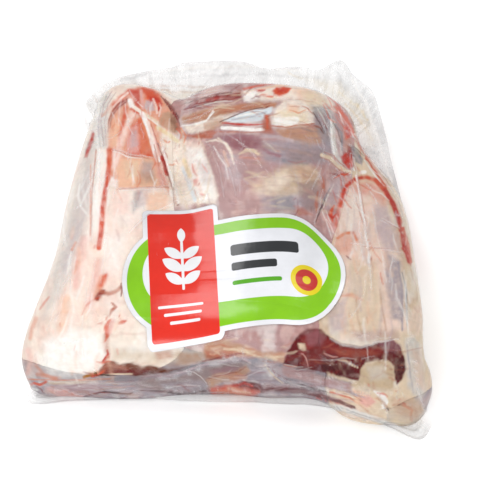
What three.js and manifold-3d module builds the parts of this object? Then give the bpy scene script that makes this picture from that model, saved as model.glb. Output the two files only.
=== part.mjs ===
// A clear sealed pack of four lamb shanks: film drawn tight round the meat, and an adhesive label on top.
// Millimetres, +Z up. The origin is under the middle of the pack, on the surface that it lies on.
import * as THREE from 'three';
import { mergeVertices } from 'three/addons/utils/BufferGeometryUtils.js';
import Module from 'manifold-3d';

// Driving dimensions of the meat
// Each shank has stations along its length: plan place x, y, height of its middle, half width, half height.
// The ends are how far its rounded ends reach past the first and the last station.
const SHANKS = {
  left: {
    ends: [22, 20],
    stations: [[-67, 88, 23, 25, 21], [-70, 60, 26, 28, 25], [-74, 20, 28, 30, 28],
      [-75, -20, 28, 33, 29], [-79, -60, 23, 40, 23]],
  },
  right: {
    ends: [10, 18],
    stations: [[46, 90, 15, 12, 13], [54, 62, 17, 12, 15], [66, 38, 19, 17, 17], [68, 12, 23, 22, 22],
      [64, -25, 27, 28, 27], [63, -56, 27, 30, 27], [68, -82, 21, 25, 21]],
  },
  back: {
    ends: [20, 24],
    stations: [[5, 82, 30, 47, 26], [6, 45, 32, 47, 32], [6, 5, 32, 42, 32],
      [4, -35, 30, 38, 30], [2, -58, 28, 34, 27]],
  },
  front: {
    ends: [15, 11],
    stations: [[-104, -74, 10, 11, 10], [-60, -70, 12, 14, 12], [-20, -66, 20, 17, 19],
      [10, -67, 22, 18, 21], [45, -74, 18, 14, 18], [82, -92, 12, 10, 12]],
  },
};
// Fat and membranes that fill two gaps between shanks: the valley under the label, the notch at the back
const INFILLS = [
  { ends: [18, 24], stations: [[-39, 2, 25, 20, 27], [-38, -20, 26, 22, 28], [-38, -50, 23, 24, 23]] },
  { ends: [12, 12], stations: [[-48, 78, 13, 16, 14], [-26, 86, 13, 16, 14]] },
];
const STEPS_BETWEEN_STATIONS = 5;
const SQUARENESS = 2.6; // of the oval sections: 2 is an ellipse, more is squarer
// A shank's lower half is this much deeper than its upper half, and the surface that it lies on cuts it flat
const PRESSED_FLAT = 1.35;
const MUSCLE_RELIEF = 0.03; // depth of the long muscle ridges, as a share of a section's radius
const MUSCLE_RIDGES = 3; // round the section
const MUSCLE_TWIST = 0.16; // turn of the ridges from one step to the next, in radians

// Driving dimensions of the film
const FILM_BRIDGE = 16; // how far the tight film spans where two shanks meet
const PACK_HEIGHT_LIMIT = 80;
const FREE_FILM = 1.4; // thickness of the two folded layers of film past the meat
const BACK_FLAP_HEIGHT = 20;
const BACK_FLAP_DROOP = 3;
const BACK_FLAP_WAVE = 3.4;
const FRONT_SKIRT_HEIGHT = 1.9;
const FRONT_SKIRT_WAVE = 0.4;
// The waves along the free film: size as a share of the wave's height, radians over its length, and start
const FOLDS = [[1, 44, 0], [0.6, 83, 1.2], [0.5, 19, 2.1]];
// The free film runs from a root inside the pack to its edge: plan place of the root, then of the edge
const BACK_FLAP = [
  [-84, 68, -97, 84], [-84, 80, -99, 106], [-80, 88, -94, 119], [-70, 92, -77, 131], [-55, 82, -52, 137],
  [-42, 72, -38, 141], [-10, 86, -7, 143], [12, 88, 13, 137], [26, 88, 31, 139], [34, 85, 41, 136],
  [40, 80, 56, 143], [45, 76, 63, 132], [48, 72, 74, 118], [54, 62, 80, 89], [62, 48, 83, 64],
  [70, 30, 88, 30], [74, 14, 90, 13],
];
const FRONT_SKIRT = [
  [-106, -70, -121, -84], [-104, -74, -117, -89], [-90, -72, -92, -87], [-58, -70, -58, -86],
  [-32, -68, -32, -87], [0, -68, 0, -88], [17, -68, 17, -89], [35, -72, 35, -90],
  [50, -78, 52, -94], [66, -86, 72, -102], [80, -92, 90, -111], [82, -90, 97, -103],
];

// Driving dimensions of the label
const LABEL_MIDDLE = [-8.5, -40.5];
const LABEL_TURN = THREE.MathUtils.degToRad(3.6);
const LABEL_LENGTH = 119;
const LABEL_DEPTH = 64;
const BAND_MIDDLE = -27; // of the upright band, along the label from its middle
const BAND_WIDTH = 41;
const BAND_BEFORE = 3; // how far the band stands proud of the oval at its front
const BAND_BEHIND = 11;
const BAND_EDGES = [BAND_MIDDLE - BAND_WIDTH / 2, BAND_MIDDLE + BAND_WIDTH / 2];
const LABEL_GAP = 0.6; // clear of the faceted film
const LABEL_THICKNESS = 0.4;

// Mesh fineness
const GRID = 44; // cells along each side of the top
const RIM_INSET = 16; // plan distance from the pack's outline to where the top turns into the side
const RIM_HEIGHT = 11; // height of the line that the side's rays fan out from
const RIM_ANGLES = [81, 71, 61, 51, 39, 23, 4, -17]; // degrees above the horizontal, outermost last
const FLAP_CELLS = [64, 5];
const SKIRT_CELLS = [48, 2];
const LABEL_COLUMNS = 32;
const OVAL_ROWS = 14;
const TAB_ROWS = 2;
const SHORTEST_EDGE = 0.02;
const MIDDLE = [-10, -5]; // the plan place that the grid is centred on
const FARTHEST_REACH = 160; // from there: past the whole outline
const CORNERS = {
  frontLeft: [-123, -88], frontRight: [94, -107], backRight: [57, 100], backLeft: [-90, 104],
};

// A smooth line through the stations, with a few steps between each two
function smoothStations(stations) {
  const line = [];
  const last = stations.length - 1;
  for (let i = 0; i < last; i++) {
    const [p0, p1] = [stations[Math.max(i - 1, 0)], stations[i]];
    const [p2, p3] = [stations[i + 1], stations[Math.min(i + 2, last)]];
    for (let k = 0; k < STEPS_BETWEEN_STATIONS; k++) {
      const t = k / STEPS_BETWEEN_STATIONS;
      line.push(p1.map((value, axis) => {
        const slope1 = (p2[axis] - p0[axis]) / (i > 0 ? 2 : 1);
        const slope2 = (p3[axis] - p1[axis]) / (i + 1 < last ? 2 : 1);
        return (2 * t ** 3 - 3 * t ** 2 + 1) * value + (t ** 3 - 2 * t ** 2 + t) * slope1
          + (3 * t ** 2 - 2 * t ** 3) * p2[axis] + (t ** 3 - t ** 2) * slope2;
      }));
    }
  }
  line.push(stations[last]);
  return line;
}

// How far a point lies outside a shank, below zero inside it
function shankDistance(x, y, z, { line, ends }) {
  let best = Infinity;
  let at = 0;
  let side = 0;
  for (let i = 0; i < line.length - 1; i++) {
    const [ax, ay] = line[i];
    const [bx, by] = line[i + 1];
    const along = [bx - ax, by - ay];
    const share = ((x - ax) * along[0] + (y - ay) * along[1]) / (along[0] ** 2 + along[1] ** 2);
    const t = Math.min(Math.max(share, 0), 1);
    const distance = Math.hypot(x - ax - t * along[0], y - ay - t * along[1]);
    if (distance < best) {
      best = distance;
      at = i + t;
      side = Math.sign(along[0] * (y - ay) - along[1] * (x - ax));
    }
  }
  const i = Math.min(Math.floor(at), line.length - 2);
  const [, , middle, halfWidth, halfHeight] = line[i].map((value, axis) =>
    value + (at - i) * (line[i + 1][axis] - value));
  let past = 0;
  let reach = 1;
  const last = line.length - 1;
  for (const [end, next, length] of [[0, 1, ends[0]], [last, last - 1, ends[1]]]) {
    const out = [line[end][0] - line[next][0], line[end][1] - line[next][1]];
    const beyond = ((x - line[end][0]) * out[0] + (y - line[end][1]) * out[1]) / Math.hypot(...out);
    if (beyond > 0 && Math.abs(at - end) < 1e-6) {
      past = beyond;
      reach = length;
    }
  }
  const across = Math.sqrt(Math.max(best ** 2 - past ** 2, 0));
  const depth = z < middle ? PRESSED_FLAT * halfHeight : halfHeight;
  const radius = ((across / halfWidth) ** SQUARENESS + (past / reach) ** SQUARENESS
    + (Math.abs(z - middle) / depth) ** SQUARENESS) ** (1 / SQUARENESS);
  const round = Math.atan2((z - middle) / halfHeight, side * across / halfWidth);
  const ridge = 1 + MUSCLE_RELIEF * Math.cos(MUSCLE_RIDGES * round + MUSCLE_TWIST * at);
  return (radius / ridge - 1) * Math.min(halfWidth, halfHeight);
}

function smoothMinimum(a, b, span) {
  const share = Math.min(Math.max(0.5 + 0.5 * (b - a) / span, 0), 1);
  return b * (1 - share) + a * share - span * share * (1 - share);
}

const pieces = [...Object.values(SHANKS), ...INFILLS].map(({ ends, stations }) =>
  ({ ends, line: smoothStations(stations) }));

// How far a point lies outside the film round all the meat, which is flat where it lies on the surface
function filmDistance(x, y, z) {
  let distance = shankDistance(x, y, z, pieces[0]);
  for (const piece of pieces.slice(1)) {
    distance = smoothMinimum(distance, shankDistance(x, y, z, piece), FILM_BRIDGE);
  }
  return Math.max(distance, -z);
}

// The first place along a ray where the film is crossed
function crossing(from, direction, reach) {
  const STEP = 1;
  const point = (distance) => from.map((value, axis) => value + distance * direction[axis]);
  const start = Math.sign(filmDistance(...point(0)));
  let far = STEP;
  while (far < reach && Math.sign(filmDistance(...point(far))) === start) far += STEP;
  let near = far - STEP;
  for (let k = 0; k < 16; k++) {
    const half = (near + far) / 2;
    if (Math.sign(filmDistance(...point(half))) === start) near = half;
    else far = half;
  }
  return point((near + far) / 2);
}

const topAt = (x, y) => crossing([x, y, PACK_HEIGHT_LIMIT], [0, 0, -1], PACK_HEIGHT_LIMIT)[2];

// The film's outward direction at a place on it
function outwardAt(point) {
  const PROBE = 1.5;
  const slope = [0, 1, 2].map((axis) => {
    const [plus, minus] = [PROBE, -PROBE].map((step) =>
      point.map((value, k) => value + (k === axis ? step : 0)));
    return filmDistance(...plus) - filmDistance(...minus);
  });
  return new THREE.Vector3(...slope).normalize();
}

// The pack's widest plan reach from its middle, towards a plan angle
function outlineReach(angle) {
  const HEIGHTS = [3, 7, 11, 16, 21, 26, 31, 36];
  const inside = (reach) => HEIGHTS.some((z) =>
    filmDistance(MIDDLE[0] + reach * Math.cos(angle), MIDDLE[1] + reach * Math.sin(angle), z) < 0);
  const STEP = 2;
  let near = FARTHEST_REACH;
  while (near > 0 && !inside(near)) near -= STEP;
  let far = near + STEP;
  for (let k = 0; k < 12; k++) {
    const half = (near + far) / 2;
    if (inside(half)) near = half;
    else far = half;
  }
  return near;
}

// Plan angle of a place on the edge of the square grid, whose corners lie at the pack's corners
function gridAngle(u, v) {
  const { frontLeft, frontRight, backRight, backLeft } = CORNERS;
  const [x, y] = [0, 1].map((axis) =>
    ((1 - u) * (1 - v) * frontLeft[axis] + (1 + u) * (1 - v) * frontRight[axis]
      + (1 + u) * (1 + v) * backRight[axis] + (1 - u) * (1 + v) * backLeft[axis]) / 4);
  return Math.atan2(y - MIDDLE[1], x - MIDDLE[0]);
}

// The grid's border cells in order, against the clock seen from above
function borderCells() {
  const cells = [];
  for (let i = 0; i < GRID; i++) cells.push([i, 0]);
  for (let j = 0; j < GRID; j++) cells.push([GRID, j]);
  for (let i = GRID; i > 0; i--) cells.push([i, GRID]);
  for (let j = GRID; j > 0; j--) cells.push([0, j]);
  return cells;
}

function geometryOf(vertices, triangles) {
  const geometry = new THREE.BufferGeometry();
  geometry.setAttribute('position', new THREE.BufferAttribute(new Float32Array(vertices.flat()), 3));
  geometry.setIndex(triangles);
  return geometry;
}

// The closed body of the meat in its film: a gridded top, a side whose rays fan out, and a flat underside
function buildBody() {
  const vertices = [];
  const triangles = [];
  const quad = (a, b, c, d) => triangles.push(a, b, c, a, c, d);
  const half = GRID / 2;
  for (let j = 0; j <= GRID; j++) {
    for (let i = 0; i <= GRID; i++) {
      const [u, v] = [i / half - 1, j / half - 1];
      const share = Math.max(Math.abs(u), Math.abs(v));
      let [x, y] = MIDDLE;
      if (share > 0) {
        const angle = gridAngle(u / share, v / share);
        const reach = share * (outlineReach(angle) - RIM_INSET);
        x += reach * Math.cos(angle);
        y += reach * Math.sin(angle);
      }
      vertices.push([x, y, topAt(x, y)]);
    }
  }
  for (let j = 0; j < GRID; j++) {
    for (let i = 0; i < GRID; i++) {
      const a = j * (GRID + 1) + i;
      quad(a, a + 1, a + GRID + 2, a + GRID + 1);
    }
  }
  const border = borderCells();
  const outline = border.map(([i, j]) => {
    const angle = gridAngle(i / half - 1, j / half - 1);
    const reach = outlineReach(angle);
    return [MIDDLE[0] + reach * Math.cos(angle), MIDDLE[1] + reach * Math.sin(angle)];
  });
  const count = border.length;
  let ring = border.map(([i, j]) => j * (GRID + 1) + i);
  const outward = border.map((cell, k) => {
    const [before, after] = [outline[(k + count - 2) % count], outline[(k + 2) % count]];
    const length = Math.hypot(after[0] - before[0], after[1] - before[1]);
    return [(after[1] - before[1]) / length, (before[0] - after[0]) / length];
  });
  const roots = ring.map((index) => vertices[index].slice(0, 2));
  const addRing = (pointAt) => {
    const next = ring.map((unused, k) => vertices.push(pointAt(k)) - 1);
    for (let k = 0; k < count; k++) {
      const after = (k + 1) % count;
      quad(ring[k], next[k], next[after], ring[after]);
    }
    ring = next;
  };
  for (const degrees of RIM_ANGLES) {
    const angle = THREE.MathUtils.degToRad(degrees);
    const [level, rise] = [Math.cos(angle), Math.sin(angle)];
    addRing((k) => crossing([...roots[k], RIM_HEIGHT],
      [level * outward[k][0], level * outward[k][1], rise], PACK_HEIGHT_LIMIT));
  }
  const JUST_ABOVE = 0.01;
  addRing((k) => {
    const [x, y] = crossing([...roots[k], JUST_ABOVE], [...outward[k], 0], PACK_HEIGHT_LIMIT);
    return [x, y, 0];
  });
  const footprint = ring.map((index) => new THREE.Vector2(vertices[index][0], vertices[index][1]));
  for (const [a, b, c] of THREE.ShapeUtils.triangulateShape(footprint, [])) {
    triangles.push(ring[a], ring[c], ring[b]);
  }
  return geometryOf(vertices, triangles);
}

// A thin closed sheet over those cells of a grid that it has: both faces split alike, and joined all round
function buildSheet([columns, rows], lowerAt, upperAt, hasCell) {
  const vertices = [];
  const triangles = [];
  const known = new Map();
  const at = (face, i, j) => {
    const key = `${face} ${i} ${j}`;
    if (!known.has(key)) known.set(key, vertices.push((face ? upperAt : lowerAt)(i, j)) - 1);
    return known.get(key);
  };
  const quad = (a, b, c, d) => triangles.push(a, b, c, a, c, d);
  const isCell = (i, j) => i >= 0 && j >= 0 && i < columns && j < rows && hasCell(i, j);
  for (let j = 0; j < rows; j++) {
    for (let i = 0; i < columns; i++) {
      if (!isCell(i, j)) continue;
      const [lower, upper] = [0, 1].map((face) =>
        [at(face, i, j), at(face, i + 1, j), at(face, i + 1, j + 1), at(face, i, j + 1)]);
      quad(...upper);
      triangles.push(lower[0], lower[2], lower[1], lower[0], lower[3], lower[2]);
      const neighbours = [[i, j - 1], [i + 1, j], [i, j + 1], [i - 1, j]];
      neighbours.forEach((cell, side) => {
        const next = (side + 1) % 4;
        if (!isCell(...cell)) quad(lower[side], lower[next], upper[next], upper[side]);
      });
    }
  }
  return geometryOf(vertices, triangles);
}

// Free film between a root line and an edge line, waved more towards its edge. Its rows start at the line
// that is nearer the front, so that its upper face faces up.
function buildFreeFilm(lines, cells, [height, droop, wave], edgeInFront) {
  const toCurve = (first) => new THREE.CatmullRomCurve3(lines.map((place) =>
    new THREE.Vector3(place[first], place[first + 1], 0)), false, 'centripetal');
  const root = toCurve(0);
  const edge = toCurve(2);
  const pointAt = (along, across, lift) => {
    const share = edgeInFront ? 1 - across : across;
    const plan = root.getPoint(along).lerp(edge.getPoint(along), share);
    const folds = FOLDS.reduce((sum, [size, turns, start]) =>
      sum + size * Math.sin(turns * along + start), 0);
    return [plan.x, plan.y, height - droop * share + wave * share * folds / 2 + lift];
  };
  const place = (lift) => (i, j) => pointAt(i / cells[0], j / cells[1], lift);
  return buildSheet(cells, place(-FREE_FILM / 2), place(FREE_FILM / 2), () => true);
}

// Half the depth of the label's oval at a place along it
function ovalHalfDepth(along) {
  const radius = LABEL_DEPTH / 2;
  const past = Math.max(Math.abs(along) - (LABEL_LENGTH / 2 - radius), 0);
  return Math.sqrt(Math.max(radius ** 2 - past ** 2, 0));
}

// Places along the label for its columns: closer at the round ends, with one on each edge of the band
function labelColumns() {
  const SHORT_OF_END = 0.998;
  const places = [];
  for (let k = 0; k <= LABEL_COLUMNS; k++) {
    places.push(SHORT_OF_END * LABEL_LENGTH / 2 * Math.sin(Math.PI * (k / LABEL_COLUMNS - 0.5)));
  }
  for (const edge of BAND_EDGES) {
    const distances = places.map((place) => Math.abs(place - edge));
    places[distances.indexOf(Math.min(...distances))] = edge;
  }
  return places;
}

// An oval with straight sides, and an upright band that stands proud of it before and behind
function buildLabel() {
  const columns = labelColumns();
  const rows = OVAL_ROWS + 2 * TAB_ROWS;
  const acrossAt = (along, j) => {
    const oval = ovalHalfDepth(along);
    const front = -LABEL_DEPTH / 2 - BAND_BEFORE;
    const back = LABEL_DEPTH / 2 + BAND_BEHIND;
    if (j < TAB_ROWS) return front + (-oval - front) * j / TAB_ROWS;
    if (j > rows - TAB_ROWS) return back + (oval - back) * (rows - j) / TAB_ROWS;
    return oval * (2 * (j - TAB_ROWS) / OVAL_ROWS - 1);
  };
  const place = (lift) => (i, j) => {
    const along = columns[i];
    const across = acrossAt(along, j);
    const x = LABEL_MIDDLE[0] + along * Math.cos(LABEL_TURN) - across * Math.sin(LABEL_TURN);
    const y = LABEL_MIDDLE[1] + along * Math.sin(LABEL_TURN) + across * Math.cos(LABEL_TURN);
    const point = [x, y, topAt(x, y)];
    return outwardAt(point).multiplyScalar(lift).add(new THREE.Vector3(...point)).toArray();
  };
  const hasCell = (i, j) => (j >= TAB_ROWS && j < rows - TAB_ROWS)
    || (columns[i] >= BAND_EDGES[0] && columns[i + 1] <= BAND_EDGES[1]);
  return buildSheet([LABEL_COLUMNS, rows], place(LABEL_GAP), place(LABEL_GAP + LABEL_THICKNESS), hasCell);
}

// Joining of solids
const wasm = await Module();
wasm.setup();
function toSolid(geometry) {
  const merged = mergeVertices(geometry, 1e-4);
  return new wasm.Manifold(new wasm.Mesh({
    numProp: 3,
    vertProperties: new Float32Array(merged.attributes.position.array),
    triVerts: new Uint32Array(merged.index.array),
  }));
}
// The solid as a mesh, with the shortest edges that a join leaves closed up
function toGeometry(solid) {
  const { vertProperties, triVerts } = solid.getMesh();
  const geometry = new THREE.BufferGeometry();
  geometry.setAttribute('position', new THREE.BufferAttribute(new Float32Array(vertProperties), 3));
  geometry.setIndex([...triVerts]);
  const welded = mergeVertices(geometry, SHORTEST_EDGE);
  const corners = [...welded.index.array];
  const kept = [];
  for (let k = 0; k < corners.length; k += 3) {
    const [a, b, c] = corners.slice(k, k + 3);
    if (a !== b && b !== c && c !== a) kept.push(a, b, c);
  }
  welded.setIndex(kept);
  return welded;
}

// The whole: the pack and its label, moved so that the origin is under the middle of the pack
const FLAP_FORM = [BACK_FLAP_HEIGHT, BACK_FLAP_DROOP, BACK_FLAP_WAVE];
const SKIRT_FORM = [FRONT_SKIRT_HEIGHT, 0, FRONT_SKIRT_WAVE];
const backFlap = buildFreeFilm(BACK_FLAP, FLAP_CELLS, FLAP_FORM, false);
const frontSkirt = buildFreeFilm(FRONT_SKIRT, SKIRT_CELLS, SKIRT_FORM, true);
const bagSolid = toSolid(buildBody()).add(toSolid(backFlap)).add(toSolid(frontSkirt));

const filmOverMeat = new THREE.MeshStandardMaterial({ color: '#e2bfae', roughness: 0.18, metalness: 0 });
const printedLabel = new THREE.MeshStandardMaterial({ color: '#eef0f0', roughness: 0.3, metalness: 0 });

const pack = new THREE.Group();
const bag = new THREE.Mesh(toGeometry(bagSolid), filmOverMeat);
bag.name = 'bag';
const label = new THREE.Mesh(buildLabel(), printedLabel);
label.name = 'label';
pack.add(bag, label);

const box = new THREE.Box3().setFromObject(pack);
const middle = box.getCenter(new THREE.Vector3());
pack.position.set(-middle.x, -middle.y, -box.min.z);

export default pack;
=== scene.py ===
# A clear sealed pack of four raw lamb shanks with an adhesive label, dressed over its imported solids.
import math

import bpy
import numpy as np
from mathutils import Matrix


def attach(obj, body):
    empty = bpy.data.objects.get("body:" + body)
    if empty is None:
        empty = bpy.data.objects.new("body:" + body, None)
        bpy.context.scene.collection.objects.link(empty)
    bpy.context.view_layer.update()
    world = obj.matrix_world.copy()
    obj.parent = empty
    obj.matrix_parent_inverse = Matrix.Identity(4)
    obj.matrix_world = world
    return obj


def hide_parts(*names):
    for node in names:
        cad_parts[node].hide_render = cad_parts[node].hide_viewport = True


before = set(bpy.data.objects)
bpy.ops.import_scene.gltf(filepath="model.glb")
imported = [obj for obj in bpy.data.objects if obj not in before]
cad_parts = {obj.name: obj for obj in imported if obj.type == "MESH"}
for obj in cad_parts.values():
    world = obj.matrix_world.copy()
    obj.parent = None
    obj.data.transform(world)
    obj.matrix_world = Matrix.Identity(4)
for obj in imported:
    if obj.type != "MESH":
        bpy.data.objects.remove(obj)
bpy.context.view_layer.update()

# Shape, in millimetres, as the solids have it
MM = 0.001
PACK_MIDDLE = np.array([-13.387, 16.209, 0.0])  # the pack's middle, where the frame has its origin
SHANKS = {
    "left": {
        "ends": (22, 20),
        "stations": [(-67, 88, 23, 25, 21), (-70, 60, 26, 28, 25), (-74, 20, 28, 30, 28),
                     (-75, -20, 28, 33, 29), (-79, -60, 23, 40, 23)],
    },
    "right": {
        "ends": (10, 18),
        "stations": [(46, 90, 15, 12, 13), (54, 62, 17, 12, 15), (66, 38, 19, 17, 17), (68, 12, 23, 22, 22),
                     (64, -25, 27, 28, 27), (63, -56, 27, 30, 27), (68, -82, 21, 25, 21)],
    },
    "back": {
        "ends": (20, 24),
        "stations": [(5, 82, 30, 47, 26), (6, 45, 32, 47, 32), (6, 5, 32, 42, 32),
                     (4, -35, 30, 38, 30), (2, -58, 28, 34, 27)],
    },
    "front": {
        "ends": (15, 11),
        "stations": [(-104, -74, 10, 11, 10), (-60, -70, 12, 14, 12), (-20, -66, 20, 17, 19),
                     (10, -67, 22, 18, 21), (45, -74, 18, 14, 18), (82, -92, 12, 10, 12)],
    },
    "fat_between": {
        "ends": (18, 24),
        "stations": [(-39, 2, 25, 20, 27), (-38, -20, 26, 22, 28), (-38, -50, 23, 24, 23)],
    },
    "back_trimming": {
        "ends": (12, 12),
        "stations": [(-48, 78, 13, 16, 14), (-26, 86, 13, 16, 14)],
    },
}
STEPS_BETWEEN_STATIONS = 5
SQUARENESS = 2.6
PRESSED_FLAT = 1.35
MUSCLE_RELIEF = 0.03
MUSCLE_RIDGES = 3
MUSCLE_TWIST = 0.16
FILM_BRIDGE = 16.0
FILM_GAP = 0.35  # the film's distance outside the meat
MEAT_GAP = -0.25  # below zero: two pieces of meat are pressed together
MEAT_FLOOR = 0.6
SATURATION = 1.12
DEPTH_OF_TONE = {"left": 0.94, "back": 0.93, "right": 0.8, "front": 0.72}
FIBRES = {"left": 0.05, "back": 0.14, "right": 0.08, "front": 0.1}
AREA_SOFTNESS = 1.1
LINE_SOFTNESS = 0.75
LONGEST_RAY = 90.0
RIM_INSET = 16.0
RIM_HEIGHT = 11.0
GRID_MIDDLE = (-10.0, -5.0)
CORNERS = {
    "front_left": (-123, -88), "front_right": (94, -107), "back_right": (57, 100), "back_left": (-90, 104),
}
BACK_FLAP = [
    (-84, 68, -97, 84), (-84, 80, -99, 106), (-80, 88, -94, 119), (-70, 92, -77, 131), (-55, 82, -52, 137),
    (-42, 72, -38, 141), (-10, 86, -7, 143), (12, 88, 13, 137), (26, 88, 31, 139), (34, 85, 41, 136),
    (40, 80, 56, 143), (45, 76, 63, 132), (48, 72, 74, 118), (54, 62, 80, 89), (62, 48, 83, 64),
    (70, 30, 88, 30), (74, 14, 90, 13),
]
FRONT_SKIRT = [
    (-106, -70, -121, -84), (-104, -74, -117, -89), (-90, -72, -92, -87), (-58, -70, -58, -86),
    (-32, -68, -32, -87), (0, -68, 0, -88), (17, -68, 17, -89), (35, -72, 35, -90),
    (50, -78, 52, -94), (66, -86, 72, -102), (80, -92, 90, -111), (82, -90, 97, -103),
]
BACK_FLAP_HEIGHT = 20.0
BACK_FLAP_DROOP = 3.0
BACK_FLAP_WAVE = 1.0
BACK_FLAP_CRINKLE = 0.4
FRONT_SKIRT_HEIGHT = 1.9
FRONT_SKIRT_WAVE = 0.4
FRONT_SKIRT_CRINKLE = 0.15
SKIRT_LAYERS = 4
LABEL_MIDDLE = (-8.5, -40.5)
LABEL_TURN = math.radians(3.6)
LABEL_LENGTH = 119.0
LABEL_DEPTH = 64.0
BAND_MIDDLE = -27.0
BAND_WIDTH = 41.0
BAND_BEFORE = 3.0
BAND_BEHIND = 11.0
LABEL_GAP = 0.6
LABEL_THICKNESS = 0.12
LOOSE_THICKNESS = 0.25

# The photograph's camera, in the same millimetres: its pixels place the paint
PHOTO_SIZE = 500
PHOTO_FOCAL = 1691.0
PHOTO_DISTANCE = 950.0
PHOTO_ELEVATION = math.radians(55)
PHOTO_TARGET = np.array([0.0, 0.0, 20.0])
LOOK = np.array([0.0, math.cos(PHOTO_ELEVATION), -math.sin(PHOTO_ELEVATION)])
LOOK_UP = np.array([0.0, math.sin(PHOTO_ELEVATION), math.cos(PHOTO_ELEVATION)])
EYE = PHOTO_TARGET - PHOTO_DISTANCE * LOOK


def photo_pixels(points):
    """Where the points, in millimetres, show in the photograph."""
    seen = points - EYE
    depth = seen @ LOOK
    middle = PHOTO_SIZE / 2
    across, up = seen[:, 0] / depth, seen @ LOOK_UP / depth
    return np.stack([middle + PHOTO_FOCAL * across, middle - PHOTO_FOCAL * up], 1)


# Noise
def hashed(cells, seed):
    """A number from -1 to 1 for each row of whole numbers."""
    mixed = np.full(len(cells), seed * 0x9E3779B1 & 0xFFFFFFFF, np.uint64)
    for axis in range(cells.shape[1]):
        whole = cells[:, axis].astype(np.int64).astype(np.uint64) & np.uint64(0xFFFFFFFF)
        mixed = (mixed ^ whole) * np.uint64(0x85EBCA6B)
        mixed &= np.uint64(0xFFFFFFFF)
        mixed ^= mixed >> np.uint64(15)
        mixed = mixed * np.uint64(0xC2B2AE35) & np.uint64(0xFFFFFFFF)
        mixed ^= mixed >> np.uint64(13)
    return mixed.astype(np.float64) / 0x7FFFFFFF - 1


def noise(points, size, seed):
    """Smooth noise from -1 to 1 whose lumps have the given size, over two or three axes."""
    scaled = points / size
    cells = np.floor(scaled)
    t = scaled - cells
    t = t * t * (3 - 2 * t)
    total = np.zeros(len(points))
    dimensions = points.shape[1]
    for corner in range(2 ** dimensions):
        offset = np.array([corner >> axis & 1 for axis in range(dimensions)])
        weight = np.prod(np.where(offset == 1, t, 1 - t), axis=1)
        total += weight * hashed(cells + offset, seed)
    return total


def layered_noise(points, size, seed, layers=3):
    total = np.zeros(len(points))
    for layer in range(layers):
        total += noise(points, size / 2 ** layer, seed + layer) / 2 ** layer
    return total / 1.6


# The shanks and the film round them
def smooth_stations(stations):
    stations = np.array(stations, float)
    last = len(stations) - 1
    line = []
    for i in range(last):
        before, start, end, after = (stations[k] for k in (max(i - 1, 0), i, i + 1, min(i + 2, last)))
        slope_start = (end - before) / (2 if i > 0 else 1)
        slope_end = (after - start) / (2 if i + 1 < last else 1)
        for k in range(STEPS_BETWEEN_STATIONS):
            t = k / STEPS_BETWEEN_STATIONS
            line.append((2 * t**3 - 3 * t**2 + 1) * start + (t**3 - 2 * t**2 + t) * slope_start
                        + (3 * t**2 - 2 * t**3) * end + (t**3 - t**2) * slope_end)
    line.append(stations[last])
    return np.array(line)


LINES = {name: smooth_stations(shank["stations"]) for name, shank in SHANKS.items()}


def plan_place(x, y, name):
    """What a shank's distance needs to know of a plan place, whatever its height."""
    line = LINES[name]
    ends = SHANKS[name]["ends"]
    best = np.full(len(x), np.inf)
    at = np.zeros(len(x))
    side = np.zeros(len(x))
    for i in range(len(line) - 1):
        ax, ay = line[i, :2]
        dx, dy = line[i + 1, :2] - line[i, :2]
        t = np.clip(((x - ax) * dx + (y - ay) * dy) / (dx * dx + dy * dy), 0, 1)
        square = (x - ax - t * dx) ** 2 + (y - ay - t * dy) ** 2
        nearer = square < best
        best = np.where(nearer, square, best)
        at = np.where(nearer, i + t, at)
        side = np.where(nearer, np.sign(dx * (y - ay) - dy * (x - ax)), side)
    i = np.minimum(at.astype(int), len(line) - 2)
    station = line[i] + (at - i)[:, None] * (line[i + 1] - line[i])
    past = np.zeros(len(x))
    reach = np.ones(len(x))
    for end, inner, place, length in ((0, 1, 0, ends[0]), (-1, -2, len(line) - 1, ends[1])):
        out = line[end, :2] - line[inner, :2]
        beyond = ((x - line[end, 0]) * out[0] + (y - line[end, 1]) * out[1]) / np.hypot(*out)
        there = (beyond > 0) & (np.abs(at - place) < 1e-6)
        past = np.where(there, beyond, past)
        reach = np.where(there, length, reach)
    across = np.sqrt(np.maximum(best - past**2, 0))
    flat = (across / station[:, 3]) ** SQUARENESS + (past / reach) ** SQUARENESS
    middle, half_width, half_height = station[:, 2:5].T
    return flat, side * across / half_width, MUSCLE_TWIST * at, middle, half_width, half_height


def distance_over(place, z):
    flat, sideways, turn, middle, half_width, half_height = place
    depth = np.where(z < middle, PRESSED_FLAT * half_height, half_height)
    radius = (flat + (np.abs(z - middle) / depth) ** SQUARENESS) ** (1 / SQUARENESS)
    angle = np.arctan2((z - middle) / half_height, sideways)
    ridge = 1 + MUSCLE_RELIEF * np.cos(MUSCLE_RIDGES * angle + turn)
    return (radius / ridge - 1) * np.minimum(half_width, half_height)


def shank_distance(points, name):
    return distance_over(plan_place(points[:, 0], points[:, 1], name), points[:, 2])


def smooth_minimum(a, b, span):
    share = np.clip(0.5 + 0.5 * (b - a) / span, 0, 1)
    return b * (1 - share) + a * share - span * share * (1 - share)


def film_over(places, z):
    distance = distance_over(places[0], z)
    for place in places[1:]:
        distance = smooth_minimum(distance, distance_over(place, z), FILM_BRIDGE)
    return np.maximum(distance, -z)


def places_at(x, y):
    return [plan_place(x, y, name) for name in SHANKS]


def top_height(x, y):
    """Height of the film over each plan place."""
    places = places_at(x, y)
    z = np.full(len(x), 75.0)
    for _ in range(44):
        z -= 0.7 * film_over(places, z)
    return z


def rays_out(start, direction):
    """Where rays from inside the film first cross it."""
    length = np.zeros(len(start))
    for _ in range(30):
        points = start + length[:, None] * direction
        distance = film_over(places_at(points[:, 0], points[:, 1]), points[:, 2])
        length += np.clip(-0.75 * distance, 0, 6)
    return start + length[:, None] * direction


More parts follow.
